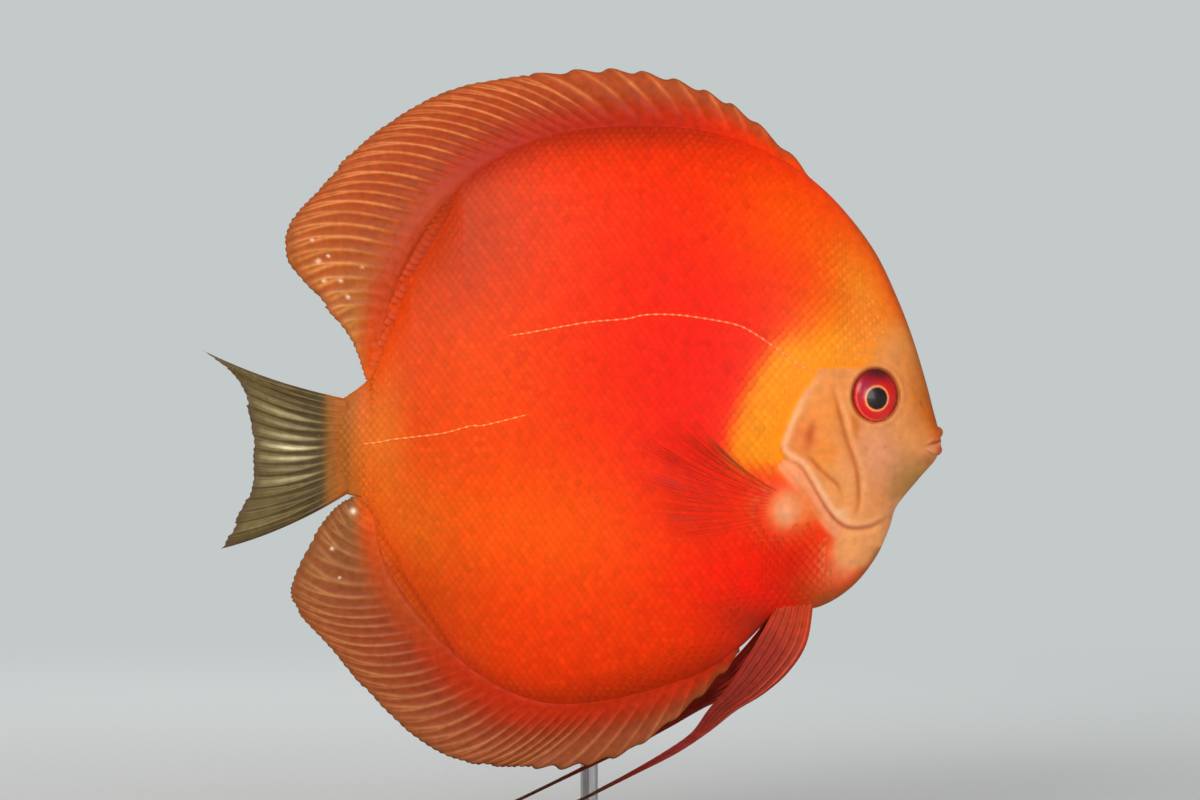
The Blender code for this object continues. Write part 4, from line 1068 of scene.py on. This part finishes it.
half = half * np.sqrt(np.clip(1 - np.abs(2 * share - 1) ** 16, 0.02, 1))
tail, spots = fin_sheet("caudal_fin_web", x, np.broadcast_to(y, x.shape), z, half)
colours = np.broadcast_to(shade("#6A5A36"), x.shape + (3,))
colours = over(colours, "#463A24", 0.85 * (1 - crest))
# Paler rays, partly their own colour and partly a painted sheen that is stronger on some rays than others.
gleam = 0.5 + 0.5 * np.sin(number * 1.9 + 0.6)
colours = over(colours, "#9A8A5C", 0.5 * crest * (0.3 + 0.7 * gleam) * np.clip(along * 2, 0, 1))
# Painted highlights: pale streaks across the middle of the fin where its pleats catch the light.
pleat_highlights = ridge((share * CAUDAL_RAYS) % 1 - 0.5, 0.19) * ridge(share - 0.47, 0.22) * ridge(along - 0.62, 0.26)
colours = over(colours, "#F2E6BE", 1.1 * pleat_highlights * (0.5 + 0.5 * gleam))
colours = over(colours, "#94602C", beyond(x + 55.2 + 1.2 * crest, 0.9))
colours = colours + (skin_paint(x, z) - colours) * ease((x + 55.5) / 4)[..., None]
borders = ridge(share, 0.02) + ridge(share - 1, 0.015)
colours = over(colours, "#3E3A30", 0.7 * borders * beyond(along - 0.25, 0.05))
colours = over(colours, "#5A4C3C", 0.6 * beyond(along - 0.94, 0.02) * np.ones_like(share))
fin_paint_piece(tail, spots, colours)
wear(tail, FIN_FINISH)
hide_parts("caudal_fin")

# Pectoral fins: clear films stretched over thin dark red rays, rising from a fleshy lobe that is
# fused to the flank behind the gill cover.
PECTORAL_ROOT = ((48.2, -12.0), (47.0, -17.6))
PECTORAL_EDGE = (
    (27.9, 4.5), (23.0, 4.2), (18.8, 2.0), (16.0, -1.6), (15.4, -6.0), (15.8, -10.6), (16.8, -14.6),
    (18.8, -18.4), (22.4, -20.9), (27.6, -21.6), (33.6, -20.6),
)
PECTORAL_BOW, PECTORAL_SUNK, PECTORAL_LIFT, PECTORAL_SPLAY = -2.2, 1.2, 1.5, 5.0
PECTORAL_RAYS, PECTORAL_ROWS = 13, 44
share, phase, _, number = ray_columns(0, PECTORAL_RAYS, 0)
along = np.linspace(0, 1, PECTORAL_ROWS)[:, None]
feet = np.array(PECTORAL_ROOT[0]) * (1 - share[:, None]) + np.array(PECTORAL_ROOT[1]) * share[:, None]
reach = point_at(smooth(PECTORAL_EDGE, EDGE_POINTS), share) - feet
x = feet[:, 0] + reach[:, 0] * along
z = feet[:, 1] + reach[:, 1] * along + PECTORAL_BOW * (1 - share) * 4 * along * (1 - along)
lift = -PECTORAL_SUNK + (PECTORAL_SUNK + PECTORAL_LIFT) * ease(along / 0.3) + PECTORAL_SPLAY * along
crest = ridge(off_ray(phase, along, 0.35), 0.075)
half = 0.05 + (0.24 - 0.19 * along) * crest
colours = np.broadcast_to(shade("#E02C10"), x.shape + (3,))
colours = over(colours, "#A01E0C", 0.9 * crest * np.ones_like(along))
colours = over(colours, "#8A4420", 0.9 * ridge(share, 0.09) * ease((1.1 - along) / 0.6))
fleshy = over(skin_paint(x, z), "#D4702C", 0.5 * crest)
colours = colours + (fleshy - colours) * ease(1 - along / 0.5)[..., None]
fray = (1 - 0.9 * ease((along - 0.66 - 0.12 * np.sin(number * 2.7)) / 0.25)) * (1 - 0.62 * share)
film = 0.02 + 0.6 * crest * fray + 0.75 * ridge(share, 0.02) * fray
film = np.clip(film * ease((along - 0.04) / 0.22), 0, 1)
for side, side_name in ((-1, "right"), (1, "left")):
    y = side * (body_half(x, z) + lift + 0.25 * np.sin(share * 17) * along)
    piece, spots = fin_sheet(f"pectoral_web_{side_name}", x, y, z, half)
    fin_paint_piece(piece, spots, colours, film)
    wear(piece, WEB_FINISH)
    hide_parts(f"pectoral_fin_{side_name}")

# Pelvic fins: narrow blades under the breast, stiff in front, whose rays run together into one long
# thread. They are let into the keel side by side, and the left one swings a little forward of the right.
PELVIC_FRONT = (
    (54.6, -36.2), (52.9, -45.6), (48.8, -52.0), (43.2, -56.8), (36.8, -60.6), (30.8, -65.2), (23.6, -69.9),
    (14.8, -74.3), (6.4, -78.4), (-2.8, -82.9),
)
PELVIC_REAR = (
    (46.4, -36.4), (43.4, -42.0), (39.6, -48.4), (35.0, -55.2), (30.6, -60.4), (27.0, -65.2), (21.6, -69.0),
    (14.0, -73.4), (5.8, -77.7), (-3.4, -82.3),
)
PELVIC_SPREAD, PELVIC_SPLAY, PELVIC_RAYS, PELVIC_ROWS = 1.3, 9.0, 6, 90
LEFT_SWING, SWING_DONE = (-9.6, 0.3), 0.75
share, phase, _, _ = ray_columns(0, PELVIC_RAYS, 0)
along = np.linspace(0, 1, PELVIC_ROWS)[:, None]
front, rear = (point_at(smooth(line, EDGE_POINTS), along[:, 0]) for line in (PELVIC_FRONT, PELVIC_REAR))
base_x = front[:, :1] * (1 - share) + rear[:, :1] * share
base_z = front[:, 1:] * (1 - share) + rear[:, 1:] * share + 0.6 * np.clip(1 - along / 0.05, 0, 1)
crest = ridge(np.abs(phase - 0.5), 0.2)
half = 0.16 + (0.42 - 0.18 * along) * crest * np.ones_like(along) + 0.4 * np.clip(1 - along / 0.12, 0, 1)
half = half * np.sqrt(np.clip(1 - (2 * share - 1) ** 8, 0.05, 1))
colours = np.broadcast_to(shade("#9C2A18"), base_x.shape + (3,))
colours = over(colours, "#8A2418", 0.8 * (1 - crest) * np.ones_like(along))
colours = over(colours, "#7E2418", ridge(along - 0.45, 0.16) * np.ones_like(share))
colours = over(colours, "#94383A", 0.8 * ridge(along - 0.66, 0.1) * np.ones_like(share))
colours = over(colours, "#D86A48", 0.7 * crest * ridge(share - 0.1, 0.25) * np.clip(1.2 - along, 0, 1))
colours = over(colours, "#5E4530", 0.9 * beyond(along - 0.84, 0.06) * np.ones_like(share))
colours = over(colours, "#C8401A", 0.7 * beyond(0.12 - along, 0.05) * np.ones_like(share))
for side, side_name in ((-1, "right"), (1, "left")):
    swung = (1 - np.cos(np.pi * np.minimum(along / SWING_DONE, 1))) / 2 * (side > 0)
    x, z = base_x + LEFT_SWING[0] * swung, base_z + LEFT_SWING[1] * swung
    y = side * (PELVIC_SPREAD + PELVIC_SPLAY * along) + 0.3 * np.sin(along * 9 + share * 3)
    piece, spots = fin_sheet(f"pelvic_web_{side_name}", x, y, z, half)
    fin_paint_piece(piece, spots, colours)
    wear(piece, FIN_FINISH)
    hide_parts(f"pelvic_fin_{side_name}")

# The display stand: a flat steel base, powder coated satin black, that carries a bent brushed steel
# rod with a small pad screwed to the far flank. The CAD shapes are right and only get their finishes.
powder, tree = new_material("black_powder_coat")
place = add_node(tree, "TexCoord").outputs["Object"]
peel = add_node(tree, "TexNoise", {"Scale": 1 / (0.9 * MM), "Detail": 3.0}, Vector=place)
cloud = add_node(tree, "TexNoise", {"Scale": 1 / (14 * MM), "Detail": 4.0}, Vector=place)
tint = add_node(tree, "ValToRGB", Fac=cloud.outputs["Fac"])
tint.color_ramp.elements[0].color = (*linear("#232426"), 1)
tint.color_ramp.elements[1].color = (*linear("#313335"), 1)
gloss = add_node(tree, "MapRange", {"To Min": 0.38, "To Max": 0.56}, Value=peel.outputs["Fac"])
bump = add_node(tree, "Bump", {"Distance": 0.06 * MM, "Strength": 0.5}, Height=peel.outputs["Fac"])
shader = add_node(
    tree, "BsdfPrincipled", {"IOR": 1.5}, Base_Color=tint.outputs["Color"], Roughness=gloss.outputs[0],
    Normal=bump.outputs[0],
)
finish_material(tree, shader)

steel, tree = new_material("brushed_steel")
place = add_node(tree, "TexCoord").outputs["Object"]
stretch = add_node(tree, "Mapping", {"Scale": (1, 1, 0.04)}, Vector=place)
brush = add_node(tree, "TexNoise", {"Scale": 1 / (0.25 * MM), "Detail": 4.0}, Vector=stretch.outputs[0])
tint = add_node(tree, "ValToRGB", Fac=brush.outputs["Fac"])
tint.color_ramp.elements[0].color = (*linear("#9A9B9C"), 1)
tint.color_ramp.elements[1].color = (*linear("#C4C5C6"), 1)
gloss = add_node(tree, "MapRange", {"To Min": 0.24, "To Max": 0.42}, Value=brush.outputs["Fac"])
bump = add_node(tree, "Bump", {"Distance": 0.01 * MM, "Strength": 0.4}, Height=brush.outputs["Fac"])
shader = add_node(
    tree, "BsdfPrincipled", {"Metallic": 1.0}, Base_Color=tint.outputs["Color"],
    Roughness=gloss.outputs[0], Normal=bump.outputs[0],
)
finish_material(tree, shader)
for node_name, material in (("stand_base", powder), ("stand_rod", steel)):
    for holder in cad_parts[node_name].material_slots:
        holder.material = material

# Studio: a pale paper floor that fades into a plain pale surround, with a soft box high at the left, one
# low at the right and one behind for the rim. The camera stands level, square to the fish's right side.
SURROUND, SURROUND_LIGHT, FILL = "#C4C9C9", 1.0, 0.3
FLOOR_RADIUS, SURROUND_RADIUS = 60, 8
LIGHTS = (
    ("key_box", (-0.45, -0.95, 0.55), 0.6, 7.5, "#FFF8F0"),
    ("front_box", (0.4, -1.0, 0.03), 0.7, 7.5, "#FFFFFF"),
    ("rim_box", (-0.2, 0.8, 0.7), 0.6, 6.0, "#FFFFFF"),
)
CAMERA_PLACE, CAMERA_LENS, SENSOR_WIDTH, CAMERA_REACH = (0.0065, -0.9, 0.1045), 120, 36, (0.01, 200)

bpy.ops.object.select_all(action="DESELECT")
bpy.ops.mesh.primitive_circle_add(vertices=96, radius=FLOOR_RADIUS, fill_type="NGON")
floor = bpy.context.object
floor.name = "studio_floor"
paper, tree = new_material("pale_studio_floor")
place = add_node(tree, "TexCoord").outputs["Object"]
far = add_node(tree, "VectorMath", {"operation": "LENGTH"}, Vector=place)
fade = add_node(
    tree, "MapRange", {"From Min": 0.1, "From Max": 0.9, "interpolation_type": "SMOOTHSTEP"},
    Value=far.outputs["Value"],
)
grain = add_node(tree, "TexNoise", {"Scale": 400.0, "Detail": 3.0}, Vector=place)
tint = add_node(tree, "ValToRGB", Fac=grain.outputs["Fac"])
tint.color_ramp.elements[0].color = (*linear("#C2C5C5"), 1)
tint.color_ramp.elements[1].color = (*linear("#CDD0D0"), 1)
matt = add_node(tree, "BsdfDiffuse", Color=tint.outputs["Color"])
glow = add_node(tree, "Emission", {"Color": (*linear(SURROUND), 1), "Strength": SURROUND_LIGHT})
mixed = add_node(tree, "MixShader", Fac=fade.outputs[0], at_1=matt.outputs[0], at_2=glow.outputs[0])
finish_material(tree, mixed)
floor.data.materials.append(paper)
bpy.ops.object.select_all(action="DESELECT")
bpy.ops.mesh.primitive_uv_sphere_add(segments=48, ring_count=24, radius=SURROUND_RADIUS)
surround = bpy.context.object
surround.name = "studio_surround"
cloth, tree = new_material("pale_surround_cloth")
glow = add_node(tree, "Emission", {"Color": (*linear(SURROUND), 1), "Strength": SURROUND_LIGHT})
finish_material(tree, glow)
surround.data.materials.append(cloth)
surround.visible_diffuse = surround.visible_glossy = False
surround.visible_transmission = surround.visible_shadow = False

world = bpy.data.worlds.new("pale_surround")
world.use_nodes = True
backdrop = world.node_tree.nodes["Background"]
backdrop.inputs["Color"].default_value = (1, 1, 1, 1)
backdrop.inputs["Strength"].default_value = FILL
scene.world = world
scene.view_settings.view_transform = "Standard"
for name, spot, size, watts, tone in LIGHTS:
    lamp = bpy.data.lights.new(name, "AREA")
    lamp.shape, lamp.size, lamp.energy, lamp.color = "DISK", size, watts, linear(tone)
    holder = bpy.data.objects.new(name, lamp)
    scene.collection.objects.link(holder)
    holder.location = spot
    aim = Vector((0, 0, MIDDLE_HEIGHT * MM)) - Vector(spot)
    holder.rotation_euler = aim.to_track_quat("-Z", "Y").to_euler()

lens = bpy.data.cameras.new("camera")
lens.lens, lens.sensor_width = CAMERA_LENS, SENSOR_WIDTH
lens.clip_start, lens.clip_end = CAMERA_REACH
camera = bpy.data.objects.new("camera", lens)
scene.collection.objects.link(camera)
camera.location = CAMERA_PLACE
camera.rotation_euler = (math.radians(90), 0, 0)
scene.camera = camera
